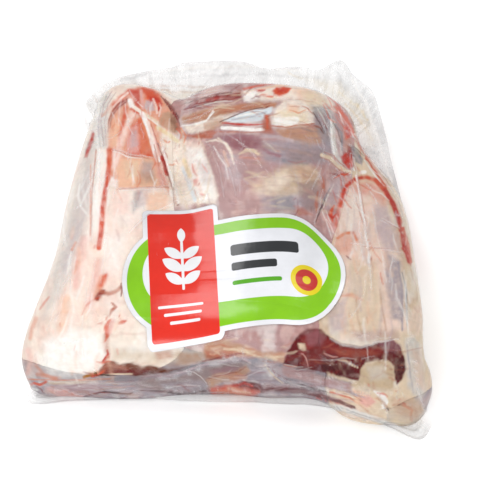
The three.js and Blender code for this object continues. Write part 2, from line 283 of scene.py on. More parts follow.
def outline_reach(angles):
    """The pack's widest plan reach from the grid's middle, towards each angle."""
    reaches = np.arange(60.0, 170.0, 1.5)
    x = GRID_MIDDLE[0] + np.outer(np.cos(angles), reaches)
    y = GRID_MIDDLE[1] + np.outer(np.sin(angles), reaches)
    places = places_at(x.ravel(), y.ravel())
    nearest = np.full(x.size, np.inf)
    for height in (3, 7, 11, 16, 21, 26, 31, 36):
        nearest = np.minimum(nearest, film_over(places, np.full(x.size, float(height))))
    nearest = nearest.reshape(x.shape)
    last = len(reaches) - 1 - np.argmax(nearest[:, ::-1] < 0, axis=1)
    rows = np.arange(len(angles))
    inside, outside = nearest[rows, last], nearest[rows, np.minimum(last + 1, len(reaches) - 1)]
    return reaches[last] + 1.5 * inside / (inside - outside)


# Meshes
def vertex_normals(points, quads):
    a, b, c, d = (points[quads[:, k]] for k in range(4))
    face = np.cross(c - a, d - b)
    normals = np.zeros_like(points)
    for k in range(4):
        np.add.at(normals, quads[:, k], face)
    return normals / np.maximum(np.linalg.norm(normals, axis=1), 1e-12)[:, None]


def grid_quads(rows, columns, closed=False):
    """Faces of a grid of rows by columns of points; closed joins the last column to the first."""
    last = columns if closed else columns - 1
    row, column = np.meshgrid(np.arange(rows - 1), np.arange(last), indexing="ij")
    after = (column + 1) % columns
    start, above = row * columns, (row + 1) * columns
    corners = [start + column, start + after, above + after, above + column]
    return np.stack([corner.ravel() for corner in corners], 1)


def make_piece(name, points, faces, material, colours=None, values=None, body="root"):
    """A smooth mesh object from points in millimetres and faces, riding on its body."""
    mesh = bpy.data.meshes.new(name)
    mesh.from_pydata(((points - PACK_MIDDLE) * MM).tolist(), [], [list(face) for face in faces])
    mesh.polygons.foreach_set("use_smooth", np.ones(len(mesh.polygons), bool))
    if colours is not None:
        layer = mesh.color_attributes.new("paint", "FLOAT_COLOR", "POINT")
        opaque = np.concatenate([colours, np.ones((len(colours), 1))], 1)
        layer.data.foreach_set("color", opaque.astype(np.float32).ravel())
    for key, value in (values or {}).items():
        layer = mesh.attributes.new(key, "FLOAT", "POINT")
        layer.data.foreach_set("value", np.asarray(value, np.float32))
    mesh.validate()
    piece = bpy.data.objects.new(name, mesh)
    bpy.context.scene.collection.objects.link(piece)
    piece.data.materials.append(material)
    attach(piece, body)
    return piece


# Paint
PALETTE = {
    "white": "#fcf9f5", "fat": "#f3e7db", "cream": "#e3d0b8", "peach": "#eec4aa", "blush": "#f6dcd2",
    "rose": "#e3b0a8", "orange": "#dc8e70", "coral": "#cf6049", "red": "#bb4138", "wine": "#85302e",
    "maroon": "#641e22", "dark": "#431a1d", "bark": "#6b3a2a", "gold": "#b57a3e", "tan": "#c19c86",
    "mauve": "#b59493", "plum": "#9f777e", "silver": "#a79da4", "slate": "#8b898f", "ice": "#dde4e8",
    "ash": "#d9d3cd", "butter": "#ecdab4", "clay": "#b46e5b", "lilac": "#c6b4b7", "pearl": "#f4f4f4",
    "haze": "#d3d3d4", "oat": "#ccb69b", "smoke": "#93807f", "web": "#e6e3df", "brown": "#b98068",
}
BASE_COLOUR = {
    "left": "fat", "right": "cream", "back": "mauve", "front": "silver",
}
# Marks of colour in the photograph's pixels: colour, kind, strength, width, softness and points. An area
# is a closed outline, a line has one width, and a vein thins towards its ends. A row that starts with a
# space goes on from the row before it.
# Painted highlights among the rows: the broad white areas that start at 102,236, 44,342 and 186,148 are
# glare painted onto the meat.
# The bark, clay and maroon areas from 90,376 to 190,366 are a painted shadow in the hollow under the lower
# fat.
# The blush line from 114,107 to 128,93 is a painted pink highlight between the knuckle's red arcs.
# The dark veins that start at 84,397 and 140,391 are painted shade along the film's fold at the foot of the
# front band, and the white vein at 166,388 is a painted highlight there.
# The white marks that start at 96,112, 96,150, 99,150 and 350,158, and the ash and white lines at 333,122
# and 331,120, are painted highlights along the film's folds.
MEAT_MARKS = """
blush area .45 0 14 100,190 165,195 130,250 122,330 100,320 60,330 40,300 70,240 90,200
white area .6 0 8 102,236 124,236 120,275 106,270
white area .4 0 10 120,196 160,200 150,215 125,230 112,214
ash area .85 0 6 92,132 96,150 92,190 82,240 68,280 54,306 44,318 53,272 64,235 76,183 84,151
lilac area .5 0 8 88,160 92,190 82,235 66,275 60,270 72,225 80,185
white area .7 0 6 96,150 106,150 106,190 98,230 88,240 90,200
orange area .75 0 4 109,122 112,108 120,97 130,90 142,87 155,88 165,97 174,112 170,140 163,160 168,188
 118,188 109,180 107,140
peach area .8 0 4 111,118 122,112 121,132 119,148 111,146
coral line .85 4 2 126,108 124,120 121,134 120,146
coral area .85 0 2.5 112,104 118,97 128,90 142,87 152,88 161,95 158,104 150,98 140,92 131,93 122,101 114,110
red area .9 0 2 129,91 139,90 141,100 139,108 135,106 132,98
rose line .9 3 1.2 141,91 142,100 143,108
coral area .9 0 2 146,92 158,93 162,100 158,108 150,103 145,99
red area .9 0 1.5 149,97 156,96 157,101 150,102
lilac area .9 0 1.5 145,101 153,102 154,110 148,111 144,107
red line .9 3 1.5 157,99 161,104 158,110
blush line .9 2 1 153,99 156,106 157,113
blush line .8 1.6 1 159,104 161,108 159,116
plum area .5 0 2 113,112 121,101 129,97 130,102 120,108 113,118
blush line .9 2.4 1 114,107 120,99 128,93
wine vein .8 2 1 109,122 112,112 118,104 127,99
wine vein .6 1.4 .8 110,128 112,116 119,107 128,101
clay vein .9 1.5 .8 108,132 109,120 113,110
white line 1 5 1.2 130,101 132,107
white line .9 3 1 132,106 138,110
fat line .9 3 1 133,107 141,112 150,118 158,124 164,130
cream line .8 2 1 143,113 152,118 160,124
coral line .9 2.5 1.2 131,109 136,112 140,115
blush area .9 0 1.8 131,111 138,114 131,124 126,136 122,150 118,162 113,158 118,142 124,126
coral area .85 0 1.8 140,116 146,128 152,146 154,156 140,157 127,154 127,140 132,126
orange area .5 0 3 139,119 144,132 150,150 141,155 138,135
rose area .95 0 2.5 131,127 138,124 139,140 137,153 127,152 127,140
lilac area .6 0 2 131,132 137,130 137,146 130,148
orange line .9 3 1.2 141,118 146,132 151,148
white line .95 5 1.2 142,114 148,126 152,140 155,152 158,160
blush line .9 3 1 148,122 154,138 159,154
rose line .8 1.6 .8 153,128 157,144 161,160
clay vein .7 1.2 .8 151,124 156,138 160,152
clay vein .9 1.6 .8 111,149 119,151 127,155 133,156 142,157 152,160
white vein .9 1.4 .6 112,151 120,153 128,157 142,158.5
peach area .95 0 2.5 120,158 152,159 157,172 160,187 118,187 116,172
cream area .6 0 3 124,162 138,162 138,176 126,178
silver area .55 0 3 142,162 152,162 155,176 146,182 140,176
tan area .6 0 3 140,172 156,174 156,184 138,184
blush area .9 0 2 112,152 119,154 118,164 115,172 111,166
white area .7 0 2 111,176 118,180 117,188 112,186
clay line .7 1.4 .8 118,189 135,188 150,187 168,187
white line .6 1.2 .6 120,190.5 140,189.5 160,188.5
coral line .95 5 1.8 109,150 109,166 107,182 104,198 102,216 101,234 99,248
red line .5 2.5 1.5 107,184 104,196 102,210
white line .8 2 1 99,150 98,180 96,206
tan area .95 0 1.8 160,118 164,112 170,111 176,118 179,127 178,135 168,131 160,125
bark area .6 0 2 172,113 177,119 179,128 175,131 170,120
dark vein .9 1.6 .8 161,96 166,103 172,111 178,120
wine vein .9 2 .8 163,98 170,107 176,116 180,126
dark vein .8 1.4 .8 165,99 173,108 179,118
clay line .8 2.5 1.2 177,124 181,131 182,138
fat area .9 0 3 160,132 170,132 182,142 184,170 190,204 176,205 168,176 161,152
butter line .8 4 2 158,128 168,134 178,142
orange vein .9 1.8 1 164,140 168,143 170,142
orange vein .9 2.6 1.2 175,150 179,155
orange vein .7 1.6 1 168,164 174,165 175,160
red line 1 4 1 162,157 165,165 167,174
wine vein .9 1.6 .8 158,143 163,158 169,178 174,194 178,205
white line .8 2.4 1 163,148 169,168 174,190 178,202
clay vein .8 1.4 .8 154,144 158,162 162,180
rose area .7 0 3 156,162 162,166 167,184 160,186
peach area .7 0 3 144,192 168,190 167,208 148,214
slate area .6 0 2.5 134,192 143,190 139,206 133,214
lilac area .5 0 3 138,190 150,189 146,204 139,208
blush area .8 0 3 111,192 128,192 130,214 112,216
ash area .85 0 3 92,104 108,90 112,96 108,112 108,148 94,150 92,130
white area .6 0 2 96,112 101,110 100,148 96,150
plum vein .6 1.2 .7 112,91 104,104 101,122 104,146
slate vein .5 1.2 .7 108,92 101,108 98,126 100,148
mauve vein .6 1.2 .7 116,92 108,104 105,122 106,146
lilac area .6 0 2 97,118 100,116 101,134 98,136
wine area .8 0 1.2 93,131 94,142 90,149 84,158 88,144
rose line .6 8 5 84,240 78,262 76,285
orange line .6 2 2 76,243 72,250
orange line .5 3 3 78,262 74,272
peach line .6 9 5 66,300 62,330 66,350
rose line .5 7 4 98,262 94,288 88,306
clay line .7 1.2 1 96,150 92,190 90.5,235
orange vein .7 1.5 1 90.5,165 90.5,200 90.5,237
red line .8 3 1.5 93,134 91,143 86,156
orange line .7 7 3 103,278 99,288 96,298
coral line .8 4 2.5 106,275 101,285
wine line .95 5 1.5 103,292 99,295 97,298
clay line .7 4 2 101,291 108,294 115,292 121,287
wine vein .8 2 1 121,283 122,290 121,296
clay vein .9 3 1.2 112,303 116,307 112,310 109,316
coral vein .9 5 1.5 110,320 106,327 107,335 105,341
rose line .7 5 3 112,322 109,332
coral vein .8 4 1.5 119,323 126,321
clay vein .9 3 1.2 107,350 108,357 103,361 114,362
coral vein .5 2 1.2 100,297 92,300 86,306 82,314
coral vein .5 2.5 1.5 49,297 44,303 40,309
orange line .5 4 2.5 36,318 32,328 30,338
rose line .7 5 3 28,350 31,362 27,374
orange line .6 3 2 36,366 44,374 52,378 60,377
white area .95 0 7 44,342 70,330 98,334 104,350 96,366 84,376 50,376 42,362
blush area .5 0 5 24,350 36,340 38,372 26,382
ash area .4 0 5 112,345 200,350 200,358 112,358
oat area .5 0 4 112,350 205,352 200,362 160,366 112,360
clay area .45 0 2 155,350 172,350 172,358 158,360
tan area .7 0 3 178,352 206,354 200,364 178,365
red vein .9 2.5 1.2 107,350 108,354 105,358 103,361
coral vein .8 2 1 97,362 103,363 111,361
clay line .5 6 3 106,336 106,350
bark area .95 0 1.5 90,376 98,371 105,363 112,360.5 120,364 132,363 143,367 150,366 170,369 190,366
 186,370 170,373 152,375 138,376 120,374 104,376
clay area .5 0 2 98,370 108,362 118,364 130,370 116,374 102,374
maroon area .75 0 1.5 108,366 122,369 136,370 150,369 150,374 136,375 118,373 104,375
gold line .95 3.5 1.2 84,377 90,374.5 97,373
coral line .9 2.5 1 92,376 98,375 103,372
cream line .7 1.8 .8 104,375.5 118,374 132,374
slate area .75 0 2 98,378 120,376 140,377 158,375 150,381 120,383 100,382
orange line .7 1.5 .8 22,379 50,380 80,380 110,379
cream line .8 3 1.2 50,383 84,383
fat area .6 0 2 56,381 100,380 96,384 60,386
coral line .9 2.6 1 28,386 34,383 40,385 46,382
coral line .9 2.2 1 23,389 29,387
wine vein .8 1.2 .6 36,386 41,389 44,394
orange line .6 4 2 38,374 50,377 56,379
white line .6 2 1 31,389 38,390
lilac area .85 0 2.5 46,385 96,383 140,386 136,391 98,394 84,398 58,398 46,390
rose area .7 0 2 46,388 60,387 78,394 84,398 60,397 50,392
plum area .6 0 1.5 64,387 80,389 96,393 84,395 70,392
clay vein .8 1.2 .7 50,386 60,389 74,395
lilac line .8 3 1.2 56,388 80,386 110,386
silver area .85 0 2.5 98,380 140,384 136,391 100,391
smoke area .6 0 2 130,381 160,380 200,384 205,391 160,391 132,386
dark vein .95 1.6 .6 84,397 92,395 98,393 106,391.5 118,393 128,394 138,391
wine vein .8 1.2 .6 86,396 100,392 110,393
rose vein .5 1.2 .7 100,386 120,387 136,386
smoke area .85 0 3 140,380 170,374 200,366 230,362 250,366 246,376 215,384 206,392 160,392 142,389
silver area .9 0 2 150,377 180,370 205,361 232,357 258,358 262,364 236,362 208,367 186,374 160,380
lilac vein .8 2 .8 158,378 182,372 206,364 232,360 252,360
slate vein .8 1.6 .8 170,372 190,367 204,363
smoke area .8 0 2.5 205,366 232,362 248,363 240,372 222,378 206,380
plum area .7 0 2 210,370 230,366 244,368 234,374 214,378
silver area .8 0 2.5 160,384 200,380 208,384 204,391 168,391
white vein .5 1.4 .8 166,388 186,385 200,386
dark vein .95 1.8 .6 140,391 160,391 178,394 196,393 208,390
tan area .95 0 2 204,345 216,338 240,344 262,352 286,353 284,364 262,358 245,356 225,357 204,361
clay area .7 0 2 206,350 222,350 238,352 228,358 206,360
brown line .8 3 1.2 210,347 222,345 232,349
wine vein .9 2.2 .8 202,361.5 218,358 232,355 246,353
cream line .8 2.5 1.2 224,349 240,350 256,356 276,360
slate area .8 0 2 247,357 264,357 278,362 300,368 330,376 352,382 352,392 330,388 300,382 286,380 272,372
 262,366 252,368
lilac area .7 0 2 262,364 278,366 300,372 330,380 350,386 336,388 300,380 282,376
cream vein .8 1.6 .8 264,364 270,372 276,378 283,383
plum vein .8 1.4 .7 268,366 276,374 288,380
silver area .8 0 2 248,366 262,366 270,378 256,382 246,374
tan area .9 0 2 206,380 216,374 234,372 246,366 250,372 240,378 222,382 210,388
wine vein .7 1.4 .7 208,379 222,375 238,372 246,367
brown area .7 0 2 222,376 240,372 246,378 232,382
coral area .85 0 1.5 209,389 216,386 236,384 258,388 262,391 250,398 236,400 222,400 212,396
orange area .7 0 1.5 216,391 240,389 250,392 242,398 222,398
maroon area .9 0 1.2 232,385 240,382 248,380 260,384 264,389 256,390 244,387
red line .9 2.4 1 234,386 244,383 252,386
coral line .9 3 1 212,390 216,395 222,399
wine vein .9 1.6 .7 208,389 213,396 222,400 246,400 258,396
white line 1 3.4 .7 223,397 226,397
cream line .6 2 1 228,388 240,391 250,393
maroon area .8 0 2 260,386 276,384 300,388 322,393 330,397 300,393 270,391
maroon line 1 3.6 1 262,391 282,389 302,392 322,397 340,402 354,408
red vein .7 1.2 .7 316,398 336,403 352,409
coral line .8 1.6 .8 330,392 350,398 362,406 368,411
dark vein .95 1.4 .6 285,383 300,384 312,388 330,393
dark vein .7 1.2 .6 288,384 304,388 324,392
maroon area 1 0 1.2 283,364 288,352 296,338 308,328 321,330 330,338 345,345 360,347 376,343 392,339
 400,345 404,356 406,368 402,380 397,385 395,378 395,366 388,360 378,360 366,363 362,368 361,375 358,381
 340,376 315,371 300,369
wine area .85 0 2 300,338 316,330 326,338 340,346 360,350 378,346 384,352 366,358 346,358 326,352 306,350
plum area .45 0 2.5 306,334 318,330 326,338 320,346 308,346
clay area .35 0 2 330,348 346,350 372,350 380,354 360,358 340,356
dark area .7 0 1.5 394,360 404,356 406,368 401,380 396,380
plum area .5 0 2 376,342 394,339 402,346 398,352 384,350
dark area .6 0 1.5 322,362 342,365 354,369 358,378 340,376 322,370
wine area .7 0 2 300,352 320,350 324,362 312,368 302,366
cream area .9 0 1 298,343 305,344 306,351 300,350
rose vein .9 1.4 .6 301,352 306,358 308,366
rose vein .8 1.2 .6 324,353 332,357 338,357
cream vein .95 2 .7 338,360 346,361 352,365 359,368
silver vein .6 1.2 .6 340,361 350,363 358,366
clay line .9 1.6 .8 284,365 292,367 296,366
mauve area .9 0 2 282,366 300,370 330,378 354,384 352,390 330,388 300,380 284,376
oat area .95 0 1.5 361,369 366,364 378,361 388,361 394,367 395,380 392,390 378,392 360,390 350,386 352,383
 359,380
ash area .5 0 3 366,366 384,366 388,378 370,380
lilac line .8 3 1 330,386 350,391 364,397
cream area .85 0 3 354,388 392,390 404,386 418,400 426,412 427,428 412,430 376,414 356,406
peach area .8 0 2 354,390 366,392 374,400 370,408 356,404
rose area .9 0 1.2 360,396 370,396 376,402 368,407 361,403
silver vein .8 2.2 .8 346,392 356,395 364,397
white vein .95 6 1 374,391 382,396 386,402 381,409
coral vein .9 2 .8 377,393 384,394 388,397
tan line .7 3 1.2 378,398 384,403 388,410
red vein .8 2 .8 401,402 405,404 403,407
clay vein .7 2 .8 392,405 400,404 412,408
orange vein .8 2 .8 404,406 412,410 410,416
brown vein .9 3 .9 418,425 422,422 425,419
tan area .5 0 3 392,398 412,398 424,410 416,420 396,414
butter line .5 4 2 380,418 402,424
fat line .6 3 1.5 408,427 420,430
ash area .85 0 2 405,338 414,338 419,344 426,392 420,400 408,388 406,360
peach area .4 0 3 412,350 420,350 425,390 416,384
silver vein .6 1.6 .8 407,344 410,372 414,394
web area .95 0 .8 314,402 340,405 366,413 392,423 414,431 424,428 429,421 431,424 421,434 416,439 390,427
 364,418 340,411 314,408
slate vein .7 1.1 .6 314,404 340,408 368,417 396,428 414,435
slate vein .5 1 .5 316,406.5 342,410.5 370,420 396,430
blush area .7 0 5 338,250 346,190 356,182 378,184 398,240 404,330 340,340
cream area .8 0 5 350,260 376,262 384,300 380,334 344,336
blush area .8 0 4 334,245 344,200 354,190 362,190 362,236 352,262
fat area .7 0 5 346,200 356,192 360,214 352,240 342,236
orange area .5 0 4 334,236 354,232 358,242 346,256 336,254
lilac area .75 0 3 374,205 386,206 394,226 396,250 386,252 376,230
silver area .75 0 3 386,252 400,262 404,300 402,322 392,318 386,284
lilac area .6 0 3 326,306 344,300 346,330 330,334
slate vein .9 2.2 1 402,272 406,290 407,325
silver line .8 2 1 398,262 402,290 402,330
white line .5 1.4 .8 404,270 406,300 408,334
clay area .3 0 4 396,226 404,240 404,262 396,250
coral area .45 0 4 350,182 372,182 388,198 384,206 370,194 354,194
coral line .95 4 2 341,206 342,196 347,185 356,178 366,177 376,180 384,190
red line .9 2.4 1.2 342,200 345,188 352,180 362,177
coral line .9 5 2 376,180 386,192 394,206 400,222
red line 1 4 1.2 385,190 392,202 398,216 401,230
red area .95 0 1.2 399,230 404,234 409,250 411,266 407,262 402,248
coral line .9 3 1.2 403,228 408,244 411,262
coral vein .9 4 1.5 334,206 330,213 333,222
red vein .9 2.4 1 327,214 333,218 336,214
coral line .6 4 2.5 340,200 338,214 336,226
rose line .6 6 2.5 326,218 336,232
orange line .9 3 1.2 338,238 346,233 353,233 357,240
wine vein .7 1.6 .8 346,256 351,260
clay vein .7 1.2 .7 362,246 376,248 388,249
orange vein .7 1.4 .7 366,236 374,252 382,262
clay vein .7 1.2 .7 369,248 372,262 372,278
coral vein .6 1.6 .9 380,272 383,284
tan line .6 2 1 380,290 383,312 386,330
orange vein .5 4 2 342,296 352,295 362,300
tan line .4 2 1 356,300 358,318 362,334
white line .95 1.5 .6 350,158 356,176 360,198 364,222 368,248 370,266
clay line .6 1 .5 353,160 358.5,180 362.5,202 366.5,226
clay vein .6 1.2 .7 356,198 360,214 366,232
clay vein .6 1.2 .6 384,220 394,226 402,230
white vein .5 1.2 .6 382,218 392,224 400,228
mauve area .5 0 3 350,332 396,330 400,338 362,342
fat area .9 0 3 242,92 262,88 282,84 305,85 322,90 334,100 338,112 320,114 306,104 290,100 262,101
peach area .6 0 3 292,90 308,88 316,95 300,99
cream area .8 0 3 302,92 318,92 328,102 320,106 306,102
butter area .3 0 3 300,100 320,104 322,116 312,116
coral line .8 2.4 1.2 244,89 262,85 282,82 305,83 320,89 332,99
peach line .8 2 1 250,92 270,87 290,84 306,86
fat area .95 0 1.8 276,108 284,101 296,100 306,104 314,114 314,124 300,126 284,127 272,124
butter area .5 0 3 278,112 290,108 306,112 308,122 286,124
white area .8 0 1.5 274,119 290,117 300,118 298,125 276,125
peach area .7 0 2 288,104 300,106 298,112 288,112
orange vein .7 1.5 .8 290,110 298,113 306,110
clay vein .8 1.4 .8 302,106 308,109 314,115
clay line .8 1.4 .7 272,126 286,127 300,125 314,124
coral area 1 0 1.2 272,92 276,88 284,86 292,88 288,93 280,96 273,95
red area .7 0 1.2 276,89 288,88 286,92 277,93
red vein .9 2.6 .9 255,90.5 260,91 265,90
white area .8 0 1.5 242,93 256,91 258,99 244,101
plum line .7 2.4 1 256,96 260,97
coral line .8 2 1 262,95 272,97
mauve area .9 0 3 180,108 200,100 222,94 241,90 242,98 225,103 200,110 182,114
wine area .85 0 1.2 226,95 240,92 241,98 232,99 224,99
wine vein .95 2.4 .8 200,101 214,97 228,96 240,93
wine vein .9 1.8 .8 194,104 208,102 222,100 234,99
red vein .8 1.6 .8 206,101 220,98 236,95
plum vein .9 1.6 .8 182,109 196,106 212,104 226,103
dark vein .7 1.2 .6 184,104 198,99 214,95 232,92
dark vein .6 1.2 .6 190,108 206,104 220,102
lilac vein .9 1.4 .7 186,106 204,100 222,97
ash vein .8 1.4 .7 196,107 216,102 232,101
tan area .95 0 2 180,117 200,110 222,106 242,104 258,101 276,103 276,107 258,109 240,111 224,116 206,121
 182,123
brown area .9 0 1.5 213,116 224,109 240,104 258,102 276,104 274,107 256,108 238,110 226,114
brown area .6 0 2.5 184,118 204,110 214,110 208,120 186,122
clay vein .7 1.2 .7 186,118 206,113 222,108
fat area .9 0 2 184,126 206,121 222,116 236,116 220,124 206,132 188,134
white vein .9 2 .8 182,126 196,124 206,121 214,112
white line .8 2 .8 208,119 213,111
clay area .9 0 1.5 190,136 208,130 218,131 212,138 196,139
tan area .7 0 1.5 204,124 222,118 226,122 214,130 204,130
ice area 1 0 1 223,121 240,113 258,108 272,107 271,113 264,119 254,122 240,123
silver line .5 1.6 1 232,120 250,117 266,112
white line .8 1.6 .7 236,117 262,111
bark line .8 1.2 .6 220,122 236,115 252,109 268,106.5
red vein .9 2.2 .8 222,123 240,124.5 254,125 265,124
white line .95 3.4 .8 222,127.5 240,129 262,130
clay line .7 1.3 .7 220,131.5 244,132.5 264,132
clay area .95 0 1.5 264,114 270,116 272,126 274,134 264,134 262,124
coral line .7 2 1 266,116 268,128
mauve area .9 0 3 212,136 262,133 330,127 334,160 300,165 262,173 244,195 216,202 206,150
plum area .95 0 2 220,136 240,134 260,136 262,146 252,152 240,151 230,148
wine area .3 0 2.5 228,138 250,137 258,144 246,150 234,148
tan area .9 0 2.5 276,129 300,126 318,129 328,142 306,148 284,140
brown area .4 0 3 278,130 300,128 316,132 304,138 284,136
smoke vein .6 2.4 1.2 302,128 310,131 318,132
silver area .8 0 3.5 262,142 296,140 326,146 328,162 290,166 262,160
smoke area .6 0 4 280,148 326,150 322,164 294,164
lilac line .8 3.4 1.6 262,136 278,137 292,141
ash vein .6 1.6 1 262,140 270,146 276,152
lilac area .7 0 3 222,152 238,154 246,170 236,186 224,176
cream vein .95 4 1 239,154 247,150 254,151 260,156
orange line .5 2.4 1.2 240,157 250,158 258,159
plum line .8 3.4 2 262,148 270,154 280,156
slate line .6 3 2 282,160 296,163 306,164
plum vein .8 2 .9 288,161 296,163 306,161
fat vein .95 3 1 218,138 226,144 231,152 234,164
fat vein .8 2 .9 206,142 216,140 224,143
white vein .7 1.4 .8 214,146 220,158 226,166 228,180
lilac vein .9 1.5 .8 234,160 238,176 240,192
mauve area .6 0 3 236,160 254,156 262,166 248,178 238,174
peach line .5 3 1.5 224,152 228,166
oat area .75 0 5 254,190 266,176 284,166 302,164 318,170 318,184 306,192 282,198
fat area .55 0 5 256,190 268,178 286,170 292,180 276,192 260,198
tan area .55 0 3 294,166 316,168 318,182 304,184
silver area .75 0 4 262,196 296,194 316,200 300,214 262,212
smoke area .6 0 3.5 298,184 320,178 324,196 318,212 302,210
slate area .6 0 3.5 272,198 292,196 294,210 276,212
clay vein .8 3 1.5 318,192 316,202 317,213
clay area .7 0 2 294,206 304,208 312,215 298,215
fat area .95 0 2 170,146 184,141 202,145 208,160 213,176 218,196 215,204 190,204 182,186 176,166
blush area .6 0 2.5 184,140 200,138 204,148 186,150
white area .8 0 3 186,148 202,149 212,180 216,200 200,202 192,180
lilac area .4 0 3 196,160 208,162 214,186 204,184
ice line .9 4 2 183,168 189,184 195,200
blush line .7 4 2.5 194,166 198,182 202,196
rose vein .9 2.4 1 192,164 194,172 197,176
rose area .9 0 1.2 193,180 198,180 198,186 194,186
rose vein .8 2.4 1 200,194 205,195
rose vein .8 2.2 1 202,164 207,172
butter line .7 4 2 184,160 190,176
clay line .8 2 1 184,135 196,137 212,137
orange vein .8 2 1 181,128 186,136 184,143
coral vein .8 1.6 .8 176,128 182,134 180,140
slate area .7 0 3 312,106 330,106 336,124 332,150 322,140 314,124
silver area .6 0 3 320,134 334,146 338,158 326,156
ash line .95 5 1.2 333,122 333,138 335,152 340,164
white line .9 2 .8 331,120 332,138 334,154
slate vein .9 2.4 .9 336,124 342,134 342,150
dark vein .7 1.3 .6 332,120 338,130 341,142
dark vein .8 1.4 .6 313,112 319,122 325,132
wine vein .7 1.2 .6 318,112 323,122 328,130
slate vein .7 1.4 .7 322,108 328,118 332,128
ash vein .9 1.4 .6 317,108 323,118 328,128
ash vein .9 1.4 .6 325,106 331,116 334,128
bark vein .8 2 .8 314,126 320,128 324,134
brown area .6 0 4 344,128 350,130 352,150 346,152
coral area .9 0 1.5 334,106 342,108 350,122 352,136 346,140 344,124 338,114
red area .95 0 1.2 346,122 352,124 353,134 349,138 346,134
red area 1 0 1.2 341,156 350,150 353,156 352,166 347,168 343,162
wine area .7 0 1 348,146 354,150 352,158 348,154
slate area .85 0 1.2 351,146 358,151 363,158 362,165 355,161
dark vein .6 1.2 .6 350,144 358,150 364,156
lilac vein .8 1.4 .6 352,150 358,158 362,166
cream line .95 3.5 1 322,155 330,158 337,165 346,171 356,173
brown line .7 1.2 .6 322,157.5 330,161 337,168 346,174
clay vein .8 1.2 .6 324,152 332,155 340,163 350,170
white line 1 3.2 .8 361,172.5 365,172
wine vein .8 1.8 .8 330,173 338,175 346,172
red vein .8 1.6 .8 338,171 344,175 350,172
coral vein .7 1.6 .8 334,178 342,174 350,175
clay vein .8 2.4 1 322,176 324,186 320,198
clay area .5 0 3 318,180 326,178 326,192 320,196
lilac area .7 0 2.5 328,184 340,178 340,192 332,204 324,212
slate vein .95 2 .8 330,188 324,200 318,216
dark vein .8 1.3 .6 325,200 320,210 316,222
ash vein .9 1.6 .7 334,184 328,196 322,210
coral line .9 3 1.5 322,88 332,97 340,107
coral line .9 3.5 1.5 346,118 352,130 360,144 370,158
peach line .9 3 1.2 350,114 360,130 370,146 380,164
blush line .8 2 1 355,134 364,148 374,164
clay vein .9 1.3 .6 350,118 360,136 370,152 380,168 388,184
clay vein .8 1.2 .6 354,138 364,154 374,170 386,186
coral line .8 2.4 1.2 366,158 376,172 386,188
white vein .9 1.4 .6 356,134 364,146 374,162 386,178
white vein .8 1.3 .6 364,160 374,174 384,186
rose vein .8 1.6 .8 370,160 380,174 390,190
"""
# Folds of the tight film in the same pixels: height in millimetres, whiteness (a painted highlight along the
# fold), width, softness and points
FILM_FOLDS_AND_PAINTED_GLINTS = """
.5 .55 1.5 1 112,150 122,152 130,155 152,158
.5 .5 1.5 1 118,189 135,189 150,188 167,187
.6 .35 2 1.5 90,104 92,140 91,180 91,240
.5 .5 2 1.2 96,112 98,140 100,180
-.5 0 3 2 93,140 94,180 92,230
.6 .5 1.5 1 105,96 101,116 103,148
.6 .45 1.5 1 110,92 104,108 106,136
-.5 .1 2 1.5 107,100 103,118 104,140
.6 .4 1.5 1 114,96 108,108 107,124
.6 .6 1.5 1 351,150 356,172 361,200 364,226 369,255 372,290
-.4 0 2.5 1.5 360,200 367,250 370,280
.4 .45 1.4 1 350,244 375,248 402,253
.4 .4 1.4 1 380,221 399,228
.5 .5 1.5 1 372,160 386,180 396,200 402,222 406,240
.5 .5 1.5 1 380,170 394,194 404,220 409,240
.6 .5 1.5 1 362,148 376,166 390,186
.5 .6 1.5 1 130,232 150,214 172,204
.4 .3 1.5 1 96,260 92,285 84,310 82,330
.4 .3 1.5 1 108,240 104,258 100,285
.6 .6 2.5 1.5 186,374 210,364 236,358 256,356
.6 .5 2 1.2 264,360 272,371 286,380 306,386 330,390
.5 .5 2 1.2 200,362 222,358 244,352
.5 .4 2 1.2 290,372 330,382 352,390
.5 .6 2 1.2 330,339 346,346 360,348 378,342 398,339
.5 .5 1.6 1 404,262 410,300 412,340 416,380
.5 .4 1.6 1 400,270 406,310 408,345
.5 .5 1.6 1 412,350 418,390 424,412
.5 .45 1.5 1 38,380 70,381 110,383 150,381 186,374
-.5 0 3 2 44,383 90,384 140,384
.5 .5 1.5 1 44,386 66,390 92,398
.5 .4 1.5 1 110,388 140,386 168,382
.5 .4 1.5 1 28,386 40,392 54,398
.4 .3 1.2 1 60,300 66,270 74,240
.4 .3 1.2 1 48,330 56,300 64,270
.5 .4 1.2 1 320,160 314,172 306,184
.5 .5 1.4 1 182,100 210,95 240,89
.5 .5 1.4 1 182,97 215,92 250,87
.5 .4 1.4 1 182,122 200,118 215,108
.5 .4 1.2 1 206,142 220,154 230,170 236,196
.5 .35 1.2 1 212,150 220,172 224,198
.5 .35 1.2 1 236,140 250,150 262,168
.6 .5 1.6 1 327,120 330,140 332,160
.5 .4 1.4 1 320,108 326,118 334,130
.5 .4 1.4 1 317,112 322,124 326,134
.6 .5 1.4 1 322,190 318,208 314,224
.5 .4 1.4 1 330,178 340,172 352,170
-.6 0 3 2 336,185 326,205 318,222
.5 .4 1.4 1 156,146 164,176 172,198
.5 .4 1.4 1 160,140 170,172 178,202
.4 .35 1.4 1 140,372 170,376 200,364
.5 .4 1.4 1 352,384 372,390 392,394
.5 .4 1.4 1 376,392 384,404 388,416
"""


